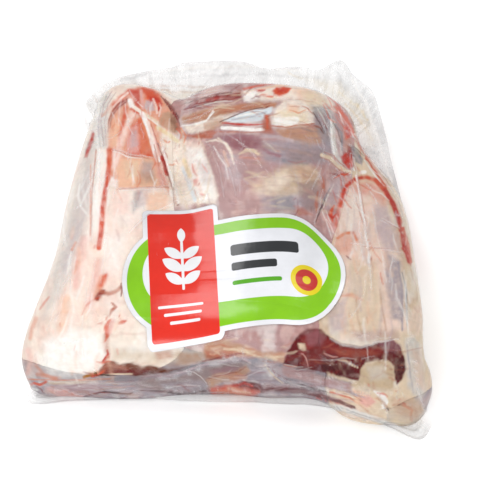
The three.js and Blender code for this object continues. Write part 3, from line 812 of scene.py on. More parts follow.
# Painted highlights of the tight film, as white glints: how many, box x0 y0 x1 y1, angles, lengths, width
# and whiteness of the painted highlight
FILM_GLINTS = """
16 88 92 112 190 80 118 10 30 1.1 .55
10 60 180 110 330 92 112 14 40 1.2 .5
12 108 88 165 150 60 140 6 20 1 .6
9 110 150 170 260 70 110 10 30 1.1 .45
8 150 110 215 200 40 75 8 22 1 .4
12 180 88 330 128 -25 10 10 34 1 .4
14 212 130 330 205 -20 80 5 16 .9 .3
14 314 100 350 175 50 115 8 26 1.1 .55
14 345 110 408 230 52 75 12 36 1.1 .6
12 335 200 412 330 78 98 14 44 1.1 .5
8 290 330 405 392 -15 25 8 26 1 .4
10 350 385 426 428 10 60 8 20 1 .4
18 30 378 345 396 -8 14 14 44 1.1 .5
6 24 340 110 378 -20 30 8 20 1 .4
"""
# Small strokes strewn over parts of the picture: colour, how many, box x0 y0 x1 y1, angles in degrees (90
# is down the picture), lengths, width and strength
STREWN_MARKS = """
peach 12 60 200 122 372 70 120 10 26 4 .3
coral 9 60 240 122 370 60 130 3 8 1.2 .6
white 20 60 160 122 372 75 112 14 40 2.2 .5
blush 14 60 160 122 372 75 112 14 40 3 .4
plum 5 100 190 160 240 60 120 6 14 2.4 .25
coral 14 110 90 168 190 60 125 8 26 1.4 .45
white 16 110 90 170 190 60 120 10 30 1.6 .5
orange 14 108 96 170 190 70 120 10 26 2.4 .35
clay 14 162 100 205 205 50 130 3 9 1.1 .5
cream 16 170 130 215 205 60 120 8 22 2 .5
wine 22 182 92 262 112 -25 5 5 20 1.1 .6
cream 20 182 92 300 128 -25 10 8 26 1.3 .5
clay 18 186 84 335 130 -20 30 5 20 1.1 .45
plum 30 205 128 330 200 -20 60 6 26 1.6 .3
lilac 34 205 128 330 200 0 120 6 24 1.3 .4
tan 18 240 128 334 214 -20 40 8 26 3 .3
cream 18 240 160 330 212 -20 40 8 26 3 .35
wine 8 286 190 345 215 60 140 3 8 1.1 .4
coral 22 322 96 400 200 40 70 8 24 1.2 .6
white 26 322 96 404 220 40 70 8 30 1.1 .55
clay 8 336 200 410 335 70 100 4 14 1 .35
white 20 340 190 408 335 75 98 14 44 1.8 .45
lilac 20 345 200 408 330 78 98 14 40 3 .35
peach 16 340 220 400 340 70 110 10 28 3.4 .35
wine 12 290 336 398 378 -10 25 8 30 1.4 .5
clay 16 290 336 400 378 -10 25 8 30 1.3 .4
tan 16 345 378 424 428 0 90 6 16 2 .4
coral 7 345 378 424 428 0 90 3 8 1.2 .5
lilac 30 44 380 340 398 -8 12 10 34 1.4 .5
plum 26 60 372 340 396 -8 14 10 34 1.3 .45
wine 16 90 380 350 400 -6 16 8 28 1 .5
white 16 180 358 350 392 -8 16 10 36 1 .4
tan 12 44 382 120 398 -10 20 8 20 2 .4
clay 16 205 340 290 362 -10 20 5 18 1.4 .35
cream 12 205 340 290 362 -10 20 5 18 1.8 .5
"""


def table_rows(table):
    """The table's rows, each with the rows that go on from it."""
    return table.strip().replace("\n ", " ").splitlines()


def strewn(table, seed):
    """The table's strokes, one to a line, in the form that the marks have."""
    chance = np.random.default_rng(seed)
    lines = []
    for row in table_rows(table):
        colour, *numbers = row.split()
        count, x0, y0, x1, y1, low, high, short, long, width, strength = map(float, numbers)
        for _ in range(int(count)):
            place = chance.uniform((x0, y0), (x1, y1))
            angle = math.radians(chance.uniform(low, high))
            step = chance.uniform(short, long) / 3
            points = []
            for _ in range(4):
                points.append(f"{place[0]:.1f},{place[1]:.1f}")
                place = place + step * np.array([math.cos(angle), math.sin(angle)])
                angle += chance.normal(0, 0.22)
            size = width * chance.uniform(0.7, 1.4)
            amount = strength * chance.uniform(0.5, 1.2)
            lines.append(f"{colour} vein {amount:.2f} {size:.2f} {size * 0.6:.2f} {' '.join(points)}")
    return lines


def strewn_glints(table, seed):
    """The table's painted highlights, as white glints, one to a line, in the form that the film's folds
    have.
    """
    rows = strewn("\n".join("white " + row for row in table_rows(table)), seed)
    lines = []
    for row in rows:
        _, _, painted_glint, width, softness, *places = row.split()
        lines.append(f"0.25 {painted_glint} {width} {softness} {' '.join(places)}")
    return lines


def linear(code):
    parts = np.array([int(code[k:k + 2], 16) for k in (1, 3, 5)]) / 255
    return np.where(parts <= 0.04045, parts / 12.92, ((parts + 0.055) / 1.055) ** 2.4)


COLOURS = {name: linear(code) for name, code in PALETTE.items()}


def read_points(words):
    return np.array([[float(part) for part in word.split(",")] for word in words])


def smooth_step(low, high, value):
    t = np.clip((value - low) / (high - low), 0, 1)
    return t * t * (3 - 2 * t)


def line_distance(pixels, points):
    """Distance from each pixel to a line of points, and the share of the line's length there."""
    lengths = np.linalg.norm(np.diff(points, axis=0), axis=1)
    starts = np.concatenate([[0], np.cumsum(lengths)])
    best = np.full(len(pixels), np.inf)
    share = np.zeros(len(pixels))
    for i in range(len(points) - 1):
        along = points[i + 1] - points[i]
        t = np.clip((pixels - points[i]) @ along / max(along @ along, 1e-9), 0, 1)
        distance = np.linalg.norm(pixels - points[i] - t[:, None] * along, axis=1)
        nearer = distance < best
        best = np.where(nearer, distance, best)
        share = np.where(nearer, (starts[i] + t * lengths[i]) / starts[-1], share)
    return best, share


def area_distance(pixels, points):
    """Distance from each pixel to a closed outline, below zero inside it."""
    inside = np.zeros(len(pixels), bool)
    for (x0, y0), (x1, y1) in zip(points, np.roll(points, -1, axis=0)):
        if y0 != y1:
            crosses = (y0 > pixels[:, 1]) != (y1 > pixels[:, 1])
            inside ^= crosses & (pixels[:, 0] < (x1 - x0) * (pixels[:, 1] - y0) / (y1 - y0) + x0)
    distance, _ = line_distance(pixels, np.concatenate([points, points[:1]]))
    return np.where(inside, -distance, distance)


def mark_mask(pixels, kind, width, softness, points):
    """How much of a mark, from 0 to 1, is at each pixel."""
    margin = width / 2 + softness
    near = np.all((pixels > points.min(0) - margin) & (pixels < points.max(0) + margin), axis=1)
    mask = np.zeros(len(pixels))
    if not near.any():
        return mask
    if kind == "area":
        mask[near] = 1 - smooth_step(-softness, softness, area_distance(pixels[near], points))
    else:
        distance, share = line_distance(pixels[near], points)
        half = width / 2 * (0.3 + 0.7 * np.sin(np.pi * share) if kind == "vein" else 1)
        mask[near] = 1 - smooth_step(np.maximum(half - softness, 0), half + softness, distance)
    return mask


def wavering(pixels, amount):
    """The pixels moved a little, so that marks have uneven edges."""
    coarse = np.stack([layered_noise(pixels, 13, 11), layered_noise(pixels, 13, 17)], 1)
    fine = np.stack([noise(pixels, 3, 23), noise(pixels, 3, 29)], 1)
    return pixels + amount * (coarse + 0.45 * fine)


ALL_MARKS = table_rows(MEAT_MARKS) + strewn(STREWN_MARKS, 7)
FOLDS_AND_PAINTED_GLINTS = table_rows(FILM_FOLDS_AND_PAINTED_GLINTS) + strewn_glints(FILM_GLINTS, 5)


def paint(points, name):
    pixels = photo_pixels(points)
    marbled = layered_noise(points * (1, 0.45, 1), 9, 51, 4)
    veined = 1 - np.abs(layered_noise(points * (1, 0.6, 1), 13, 61, 3)) * 5
    colours = np.tile(COLOURS[BASE_COLOUR[name]], (len(points), 1))
    marbling = (("blush", 0.4 * smooth_step(0.05, 0.5, marbled)),
                ("white", 0.45 * smooth_step(0.05, 0.5, -marbled)),
                ("clay", 0.18 * smooth_step(0.2, 1, veined)))
    for colour, mask in marbling:
        colours = colours * (1 - mask[:, None]) + COLOURS[colour] * mask[:, None]
    moved, steady = wavering(pixels, 1.1), wavering(pixels, 0.45)
    grain = 0.95 + 0.35 * layered_noise(pixels, 4, 71)
    for mark in ALL_MARKS:
        colour, kind, strength, width, softness, *places = mark.split()
        softness = float(softness) * (AREA_SOFTNESS if kind == "area" else LINE_SOFTNESS)
        seen_at = moved if kind == "area" else steady
        mask = mark_mask(seen_at, kind, float(width), softness, read_points(places))
        mask = np.clip(float(strength) * mask * grain, 0, 1)[:, None]
        colours = colours * (1 - mask) + COLOURS[colour] * mask
    grey = (colours @ (0.3, 0.6, 0.1))[:, None]
    colours = grey + SATURATION * (colours - grey)
    lengthways = (1, 0.12, 1) if name in ("left", "right") else (0.12, 1, 1)
    streaks = layered_noise(points * lengthways, 1.5, 81, 3)
    flecks = smooth_step(0.42, 0.7, layered_noise(points * (1, 0.7, 1), 2.6, 87, 2))
    colours = DEPTH_OF_TONE[name] * colours * (1 + FIBRES[name] * streaks[:, None])
    mask = 0.15 * flecks[:, None]
    return np.clip(colours * (1 - mask) + colours * COLOURS["rose"] * 1.15 * mask, 0, 1)


def fold_heights_and_painted_glints(points):
    """The tight film's folds at the points: height in millimetres, and whiteness that is a painted highlight
    along the folds and glints.
    """
    pixels = wavering(photo_pixels(points), 0.8)
    height = np.zeros(len(points))
    painted_glint = np.zeros(len(points))
    for fold in FOLDS_AND_PAINTED_GLINTS:
        rise, white, width, softness, *places = fold.split()
        mask = mark_mask(pixels, "vein", float(width), float(softness), read_points(places))
        height += float(rise) * mask
        painted_glint = np.maximum(painted_glint, 0.75 * float(white) * mask)
    return height, painted_glint


# Materials
def node_material(name):
    material = bpy.data.materials.new(name)
    material.use_nodes = True
    tree = material.node_tree
    tree.nodes.clear()
    output = tree.nodes.new("ShaderNodeOutputMaterial")
    return material, tree, output


def add(tree, kind, inputs=None, **settings):
    """A node with its settings, and its inputs set to values or linked to other nodes' outputs."""
    node = tree.nodes.new("ShaderNode" + kind)
    for key, value in settings.items():
        setattr(node, key, value)
    for key, value in (inputs or {}).items():
        if isinstance(value, bpy.types.NodeSocket):
            tree.links.new(value, node.inputs[key])
        else:
            node.inputs[key].default_value = value
    return node


def place_noise(tree, scale, detail=3.0, stretch=(1, 1, 1)):
    coordinates = add(tree, "TexCoord")
    mapping = add(tree, "Mapping", {"Vector": coordinates.outputs["Object"], "Scale": stretch})
    return add(tree, "TexNoise", {
        "Vector": mapping.outputs[0], "Scale": scale, "Detail": detail, "Roughness": 0.6,
    })


def span(tree, value, from_range, to_range):
    """A value taken from one range to another."""
    return add(tree, "MapRange", {
        "Value": value, "From Min": from_range[0], "From Max": from_range[1],
        "To Min": to_range[0], "To Max": to_range[1],
    }).outputs[0]


def meat_material(name):
    material, tree, output = node_material(name)
    painted = add(tree, "VertexColor", layer_name="paint")
    mottle = place_noise(tree, 300, 4)
    light = span(tree, mottle.outputs[0], (0.3, 0.7), (0.93, 1.05))
    colour = add(tree, "VectorMath", {0: painted.outputs[0], "Scale": light}, operation="SCALE")
    bumps = place_noise(tree, 500, 4)
    bump = add(tree, "Bump", {"Height": bumps.outputs[0], "Strength": 0.3, "Distance": 0.0003})
    shader = add(tree, "BsdfPrincipled", {
        "Base Color": colour.outputs[0], "Roughness": 0.5, "Specular IOR Level": 0.15,
        "Normal": bump.outputs[0],
        "Subsurface Weight": 0.08, "Subsurface Radius": (1.0, 0.4, 0.25), "Subsurface Scale": 0.002,
    })
    tree.links.new(shader.outputs[0], output.inputs[0])
    return material


MOST_SHINE = 0.3


def film_material(name, haze, gloss_roughness, index, tone=0.95, bumps=0.25, stained=False):
    material, tree, output = node_material(name)
    clear = add(tree, "BsdfTransparent", {"Color": (1, 1, 1, 1)})
    shade = (tone, tone, tone * 1.01, 1)
    if stained:
        shade = add(tree, "VertexColor", layer_name="paint").outputs[0]
    front = add(tree, "BsdfDiffuse", {"Color": shade})
    through = add(tree, "BsdfTranslucent", {"Color": shade})
    cloud = add(tree, "MixShader", {0: 0.5, 1: front.outputs[0], 2: through.outputs[0]})
    crinkles = place_noise(tree, 160, 5, (1, 0.35, 1))
    bump = add(tree, "Bump", {"Height": crinkles.outputs[0], "Strength": bumps, "Distance": 0.0006})
    hazy = span(tree, crinkles.outputs[0], (0.45, 0.75), haze)
    # The "white" attribute is a painted highlight along folds and glints on the tight film, and the haze of
    # creases and stacked layers on the loose film.
    haze_and_painted_glint = add(tree, "Attribute", attribute_name="white")
    whole = add(tree, "Math", {0: hazy, 1: haze_and_painted_glint.outputs["Fac"]}, operation="ADD")
    body = add(tree, "MixShader", {0: whole.outputs[0], 1: clear.outputs[0], 2: cloud.outputs[0]})
    gloss = add(tree, "BsdfGlossy", {"Roughness": gloss_roughness, "Normal": bump.outputs[0]})
    fresnel = add(tree, "Fresnel", {"IOR": index, "Normal": bump.outputs[0]})
    shine = add(tree, "Math", {0: fresnel.outputs[0], 1: MOST_SHINE}, operation="MINIMUM")
    mixed = add(tree, "MixShader", {0: shine.outputs[0], 1: body.outputs[0], 2: gloss.outputs[0]})
    tree.links.new(mixed.outputs[0], output.inputs[0])
    return material


# The meat
def shank_piece(name, rings, top_columns, under_columns):
    """A tube round a shank's line with round ends, kept out of its neighbours."""
    line = LINES[name]
    ends = SHANKS[name]["ends"]
    last = len(line) - 1
    plan_length = np.linalg.norm(np.diff(line[:, :2], axis=0), axis=1).sum()
    total = plan_length + ends[0] + ends[1]
    rings_at = [max(int(rings * share / total), 8) for share in (ends[0], plan_length, ends[1])]
    power = lambda c: np.sign(c) * np.abs(c) ** (2 / SQUARENESS)
    rows = []
    for k in range(rings_at[0]):
        angle = np.pi / 2 * (1 - k / rings_at[0])
        rows.append((0.0, -power(np.sin(angle)), power(np.cos(angle))))
    for k in range(rings_at[1]):
        rows.append((last * k / rings_at[1], 0.0, 1.0))
    for k in range(rings_at[2] + 1):
        angle = np.pi / 2 * k / rings_at[2]
        rows.append((float(last), power(np.sin(angle)), power(np.cos(angle))))
    at = np.array([row[0] for row in rows])
    past = np.array([row[1] for row in rows])
    scale = np.maximum(np.array([row[2] for row in rows]), 0.004)
    i = np.minimum(at.astype(int), last - 1)
    station = line[i] + (at - i)[:, None] * (line[i + 1] - line[i])
    tangents = np.gradient(line[:, :2], axis=0)
    tangents[0], tangents[-1] = line[1, :2] - line[0, :2], line[-1, :2] - line[-2, :2]
    tangent = tangents[i] + (at - i)[:, None] * (tangents[i + 1] - tangents[i])
    tangent /= np.linalg.norm(tangent, axis=1)[:, None]
    reach = np.where(past < 0, ends[0], ends[1]) * past
    centre = station[:, :3].copy()
    centre[:, :2] += reach[:, None] * tangent
    spread = np.concatenate([np.linspace(-0.12, np.pi + 0.12, top_columns, endpoint=False),
                             np.linspace(np.pi + 0.12, 2 * np.pi - 0.12, under_columns, endpoint=False)])
    cosine, sine = power(np.cos(spread)), power(np.sin(spread))
    angle = np.arctan2(sine, cosine)
    ridge = 1 + MUSCLE_RELIEF * np.cos(MUSCLE_RIDGES * angle[None, :] + MUSCLE_TWIST * at[:, None])
    sideways = station[:, 3:4] * scale[:, None] * ridge * cosine[None, :]
    depth = np.where(sine < 0, PRESSED_FLAT, 1.0)
    upward = station[:, 4:5] * scale[:, None] * ridge * (sine * depth)[None, :]
    left = np.stack([-tangent[:, 1], tangent[:, 0]], 1)
    points = np.stack([centre[:, 0:1] + sideways * left[:, 0:1], centre[:, 1:2] + sideways * left[:, 1:2],
                       centre[:, 2:3] + upward], 2).reshape(-1, 3)
    hearts = np.repeat(station[:, :3], len(spread), axis=0)
    points = fill_out(points, hearts, name)
    faces = grid_quads(len(rows), len(spread), closed=True)
    normals = vertex_normals(points, faces)
    points = points + normals * (0.12 * layered_noise(points, 5, 41) - 0.12)[:, None]
    points[:, 2] = np.maximum(points[:, 2], MEAT_FLOOR / 2)
    count = len(spread)
    caps = [list(range(count))[::-1], list(range((len(rows) - 1) * count, len(rows) * count))]
    return make_piece(name + "_shank", points, faces.tolist() + caps, MEAT, colours=paint(points, name))


def fill_out(points, hearts, name):
    """The points moved along their rays from the shank's line until they meet the film or a neighbour."""
    rays = points - hearts
    rays /= np.maximum(np.linalg.norm(rays, axis=1), 1e-9)[:, None]
    low, high = np.zeros(len(points)), np.full(len(points), LONGEST_RAY)
    for _ in range(12):
        half = (low + high) / 2
        tried = hearts + half[:, None] * rays
        own, nearest, film = None, None, None
        for other in SHANKS:
            distance = shank_distance(tried, other)
            film = distance if film is None else smooth_minimum(film, distance, FILM_BRIDGE)
            if other == name:
                own = distance
            elif other in BASE_COLOUR:
                nearest = distance if nearest is None else np.minimum(nearest, distance)
        outside = np.maximum(np.maximum(film, MEAT_FLOOR - tried[:, 2]), own - nearest + MEAT_GAP) > 0
        high = np.where(outside, half, high)
        low = np.where(outside, low, half)
    return hearts + low[:, None] * rays


MEAT = meat_material("raw_meat")
shank_piece("left", 420, 250, 40)
shank_piece("back", 400, 260, 40)
shank_piece("right", 430, 200, 40)
shank_piece("front", 480, 150, 30)


# The tight film
def border_cells(cells):
    steps = np.arange(cells)
    full = np.full(cells, cells)
    none = np.zeros(cells, int)
    return np.concatenate([np.stack([steps, none], 1), np.stack([full, steps], 1),
                           np.stack([cells - steps, full], 1), np.stack([none, cells - steps], 1)])


def grid_angle(u, v):
    corner = {name: np.array(place, float) for name, place in CORNERS.items()}
    shares = {"front_left": (1 - u) * (1 - v), "front_right": (1 + u) * (1 - v),
              "back_right": (1 + u) * (1 + v), "back_left": (1 - u) * (1 + v)}
    place = sum(share[:, None] * corner[name] for name, share in shares.items())
    return np.arctan2(place[:, 1] / 4 - GRID_MIDDLE[1], place[:, 0] / 4 - GRID_MIDDLE[0])


def film_piece(cells, rim_angles):
    """The film round the meat: a gridded top, a side whose rays fan out, and a flat underside."""
    border = border_cells(cells)
    edge_u, edge_v = 2 * border[:, 0] / cells - 1, 2 * border[:, 1] / cells - 1
    edge_angle = grid_angle(edge_u, edge_v)
    edge_reach = outline_reach(edge_angle)
    order = np.argsort(edge_angle)
    column, row = np.meshgrid(np.arange(cells + 1), np.arange(cells + 1))
    u, v = 2 * column.ravel() / cells - 1, 2 * row.ravel() / cells - 1
    share = np.maximum(np.abs(u), np.abs(v))
    safe = np.maximum(share, 1e-9)
    angle = grid_angle(u / safe, v / safe)
    reach = np.interp(angle, edge_angle[order], edge_reach[order], period=2 * np.pi)
    x = GRID_MIDDLE[0] + share * (reach - RIM_INSET) * np.cos(angle)
    y = GRID_MIDDLE[1] + share * (reach - RIM_INSET) * np.sin(angle)
    points = [np.stack([x, y, top_height(x, y)], 1)]
    faces = [grid_quads(cells + 1, cells + 1)]
    ring = border[:, 1] * (cells + 1) + border[:, 0]
    roots = points[0][ring, :2]
    outline = GRID_MIDDLE + edge_reach[:, None] * np.stack([np.cos(edge_angle), np.sin(edge_angle)], 1)
    spacing = max(cells // 22, 1)
    along = np.roll(outline, -spacing, axis=0) - np.roll(outline, spacing, axis=0)
    outward = np.stack([along[:, 1], -along[:, 0]], 1) / np.linalg.norm(along, axis=1)[:, None]
    count = len(ring)
    total = len(points[0])
    for degrees in rim_angles:
        slope = math.radians(degrees)
        start = np.concatenate([roots, np.full((count, 1), RIM_HEIGHT)], 1)
        direction = np.concatenate([math.cos(slope) * outward, np.full((count, 1), math.sin(slope))], 1)
        points.append(rays_out(start, direction))
        next_ring = total + np.arange(count)
        total += count
        faces.append(np.stack([ring, next_ring, np.roll(next_ring, -1), np.roll(ring, -1)], 1))
        ring = next_ring
    start = np.concatenate([roots, np.full((count, 1), 0.02)], 1)
    foot = start.copy()
    for _ in range(30):
        distance = np.min([shank_distance(foot, name) for name in SHANKS], axis=0)
        foot[:, :2] += outward * np.clip(-0.75 * distance, 0, 6)[:, None]
    foot[:, 2] = 0
    points.append(foot)
    next_ring = total + np.arange(count)
    faces.append(np.stack([ring, next_ring, np.roll(next_ring, -1), np.roll(ring, -1)], 1))
    points = np.concatenate(points)
    faces = np.concatenate(faces)
    normals = vertex_normals(points, faces)
    wrinkles = 0.10 * layered_noise(points * (1, 0.4, 1), 6, 71) + 0.05 * layered_noise(points, 2.2, 77)
    above = smooth_step(0, 4, points[:, 2])
    # The folds' whiteness is a painted highlight along the folds and glints; their height is real relief.
    height, painted_glint = fold_heights_and_painted_glints(points)
    points = points + normals * ((FILM_GAP + height + wrinkles) * above)[:, None]
    faces = faces.tolist() + [list(next_ring)[::-1]]
    return make_piece("tight_film", points, faces, FILM, values={"white": painted_glint})


FILM = film_material("clear_film", (0.0, 0.006), 0.1, 1.2)
tight_film = film_piece(340, (84, 78, 72, 66, 60, 54, 48, 42, 34, 26, 16, 5, -8, -22))
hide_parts("bag")


# The loose film
def smooth_line(points, shares):
    """A smooth line through the points, at shares of its length counted in points."""
    points = np.array(points, float)
    last = len(points) - 1
    place = shares * last
    i = np.minimum(place.astype(int), last - 1)
    t = (place - i)[:, None]
    before, start = points[np.maximum(i - 1, 0)], points[i]
    end, after = points[i + 1], points[np.minimum(i + 2, last)]
    return 0.5 * (2 * start + (end - before) * t + (2 * before - 5 * start + 4 * end - after) * t**2
                  + (3 * start - before - 3 * end + after) * t**3)


# Stains and shades of the loose film in the photograph's pixels, in the form that the meat's marks have
LOOSE_MARKS = """
web area .8 0 8 84,104 122,78 150,84 112,100 96,130
pearl area .5 0 10 150,66 250,60 330,66 330,84 250,82 150,86
haze area .7 0 8 345,90 372,92 392,150 404,214 400,232 384,190 366,150 350,120
haze area .5 0 5 338,62 346,64 354,82 346,96 338,84
butter area .35 0 6 300,76 340,84 366,110 376,140 368,146 350,116 330,96
butter area .45 0 4 150,88 176,92 216,88 216,96 190,100 176,100
gold vein .45 1.6 1 150,88 163,89 175,93 190,92 216,90
gold vein .35 1.3 1 128,84 150,86 184,86 216,88 240,87
gold vein .3 1.2 1 86,92 92,96 98,104
butter vein .7 2 1.2 288,72 296,76 302,79
gold vein .25 1.2 1 340,98 356,116 368,132 376,150
butter vein .6 2 1.2 346,104 360,120 372,140
butter vein .6 2 1.2 338,92 356,104 368,120
haze vein .6 2.5 2 120,80 150,74 190,70 240,66
haze vein .6 2 1.5 150,80 200,76 260,74 320,78
haze vein .6 3 2 356,76 372,104 384,140 396,180 406,220
white vein .8 2 1.5 352,80 366,104 378,140 392,184
white vein .8 2 1.5 160,72 200,68 240,66 300,70
haze vein .6 2 1.5 336,70 342,80 346,92
"""


def stain(points):
    pixels = wavering(photo_pixels(points), 1.6)
    colours = np.tile(COLOURS["pearl"], (len(points), 1))
    for mark in table_rows(LOOSE_MARKS):
        colour, kind, strength, width, softness, *places = mark.split()
        mask = mark_mask(pixels, kind, float(width), float(softness), read_points(places))
        mask = float(strength) * mask[:, None]
        colours = colours * (1 - mask) + COLOURS[colour] * mask
    return colours


def loose_film(name, lines, columns, rows, height, droop, wave, crinkle, material, layers=0):
    """A thin closed sheet from a root line to an edge line, with crinkles that run from one to the other."""
    shares = np.linspace(0, 1, columns)
    both = smooth_line(lines, shares)
    across = np.linspace(0, 1, rows)
    plan = both[None, :, :2] * (1 - across)[:, None, None] + both[None, :, 2:] * across[:, None, None]
    flat = plan.reshape(-1, 2)
    share = np.repeat(across, columns)
    along = np.tile(shares, rows)
    folds = np.sin(along * 44) + 0.6 * np.sin(along * 83 + 1.2) + 0.5 * np.sin(along * 19 + 2.1)
    lengthways = np.stack([along * 260, share * 14], 1)
    fine = layered_noise(lengthways, 9.0, 91, 3) + 0.6 * layered_noise(flat, 12, 97, 2)
    z = height - droop * share + wave * share * folds / 2 + crinkle * (0.35 + 0.65 * share) * fine
    if layers:
        step = share * layers + 0.35 * layered_noise(flat, 30, 103, 2)
        z = z + 0.35 * np.sin(2 * np.pi * step)
        in_middle = smooth_step(0.02, 0.12, along) * smooth_step(1, 0.9, along)
        white = in_middle * (0.45 + 0.4 * smooth_step(0.3, 1, np.sin(2 * np.pi * step + 1)))
    else:
        streaks = np.stack([along * 260 + 4 * layered_noise(flat, 20, 109, 2), share * 16], 1)
        creases = 1 - np.abs(layered_noise(streaks, 7, 113, 4)) * 3.5
        white = 0.15 * layered_noise(flat, 16, 107, 3) + 0.3 * np.clip(creases, 0, 1) ** 2
    middle = np.concatenate([flat, z[:, None]], 1)
    lower, upper = middle - (0, 0, LOOSE_THICKNESS / 2), middle + (0, 0, LOOSE_THICKNESS / 2)
    count = len(middle)
    top = grid_quads(rows, columns) + count
    under = grid_quads(rows, columns)[:, ::-1]
    border = np.concatenate([
        np.arange(columns), np.arange(1, rows) * columns + columns - 1,
        (rows - 1) * columns + np.arange(columns - 2, -1, -1), np.arange(rows - 2, 0, -1) * columns,
    ])
    rim = np.stack([border, np.roll(border, -1), np.roll(border, -1) + count, border + count], 1)
    if np.cross(both[-1, :2] - both[0, :2], both[columns // 2, 2:] - both[columns // 2, :2]) < 0:
        top, under, rim = top[:, ::-1], under[:, ::-1], rim[:, ::-1]
    colours = stain(middle)
    points, faces = np.concatenate([lower, upper]), np.concatenate([top, under, rim]).tolist()
    return make_piece(name, points, faces, material, np.tile(colours, (2, 1)), {"white": np.tile(white, 2)})


LOOSE = film_material("loose_clear_film", (0.25, 0.55), 0.25, 1.35, bumps=0.45, stained=True)
STACKED = film_material("stacked_clear_film", (0.08, 0.2), 0.25, 1.35, stained=True)
loose_film("loose_film_back", BACK_FLAP, 620, 90, BACK_FLAP_HEIGHT, BACK_FLAP_DROOP,
           BACK_FLAP_WAVE, BACK_FLAP_CRINKLE, LOOSE)
loose_film("loose_film_front", FRONT_SKIRT, 420, 60, FRONT_SKIRT_HEIGHT, 0,
           FRONT_SKIRT_WAVE, FRONT_SKIRT_CRINKLE, STACKED, SKIRT_LAYERS)


# The label
def label_place(along, across):
    """Points on the label's upper face from places along and across it."""
    x = LABEL_MIDDLE[0] + along * math.cos(LABEL_TURN) - across * math.sin(LABEL_TURN)
    y = LABEL_MIDDLE[1] + along * math.sin(LABEL_TURN) + across * math.cos(LABEL_TURN)
    return np.stack([x, y, top_height(x, y)], 1)


def oval_distance(along, across, length, depth):
    radius = depth / 2
    past = np.maximum(np.abs(along) - (length / 2 - radius), 0)
    return np.hypot(past, across) - radius


def box_distance(along, across, middle, size, corner):
    gap_a = np.abs(along - middle[0]) - size[0] / 2 + corner
    gap_b = np.abs(across - middle[1]) - size[1] / 2 + corner
    outside = np.hypot(np.maximum(gap_a, 0), np.maximum(gap_b, 0))
    return outside + np.minimum(np.maximum(gap_a, gap_b), 0) - corner


def label_piece(columns, rows):
    lengthways = np.linspace(-0.5, 0.5, columns) * LABEL_LENGTH
    crossways = np.linspace(-LABEL_DEPTH / 2 - BAND_BEFORE, LABEL_DEPTH / 2 + BAND_BEHIND, rows)
    along, across = np.meshgrid(lengthways, crossways)
    along, across = along.ravel(), across.ravel()
    band_depth = LABEL_DEPTH + BAND_BEFORE + BAND_BEHIND
    band_across = (BAND_BEHIND - BAND_BEFORE) / 2
    band = box_distance(along, across, (BAND_MIDDLE, band_across), (BAND_WIDTH, band_depth), 3)
    outline = np.minimum(oval_distance(along, across, LABEL_LENGTH, LABEL_DEPTH), band)
    cell = LABEL_LENGTH / (columns - 1)
    # Points just outside the outline are drawn onto it, so that the edge is a smooth curve
    slope_a = np.gradient(outline.reshape(rows, columns), cell, axis=1).ravel()
    cell_b = band_depth / (rows - 1)
    slope_b = np.gradient(outline.reshape(rows, columns), cell_b, axis=0).ravel()
    outside = np.maximum(outline, 0)
    size = np.maximum(np.hypot(slope_a, slope_b), 0.5) ** 2
    along, across = along - outside * slope_a / size, across - outside * slope_b / size
    points = label_place(along, across)
    faces = grid_quads(rows, columns)
    kept = (outline[faces] < max(cell, cell_b) * 0.9).all(axis=1)
    normals = vertex_normals(points, faces)
    faces = faces[kept]
    used, faces = np.unique(faces, return_inverse=True)
    faces = faces.reshape(-1, 4)
    along, across, points, normals = along[used], across[used], points[used], normals[used]
    upper = points + normals * LABEL_GAP
    lower = points + normals * (LABEL_GAP - LABEL_THICKNESS)
    edges = np.concatenate([faces[:, [k, (k + 1) % 4]] for k in range(4)])
    pairs = {tuple(edge) for edge in edges.tolist()}
    rim = [(a, b) for a, b in pairs if (b, a) not in pairs]
    count = len(points)
    sides = [[a + count, b + count, b, a] for a, b in rim]
    faces = faces.tolist() + [[k + count for k in face[::-1]] for face in faces.tolist()] + sides
    both_along, both_across = np.tile(along, 2), np.tile(across, 2)
    values = label_values(both_along, both_across)
    points = np.concatenate([upper, lower])
    return make_piece("printed_label", points, faces, LABEL, values=values)


def leaf_distance(along, across, root, turn, length):
    """Roughly the distance to a pointed leaf that grows from its root."""
    cosine, sine = math.cos(turn), math.sin(turn)
    forward = (along - root[0]) * cosine + (across - root[1]) * sine
    sideways = -(along - root[0]) * sine + (across - root[1]) * cosine
    bulge = np.abs(sideways) + length * 0.42
    return np.hypot(forward - length / 2, bulge) - length * 0.66


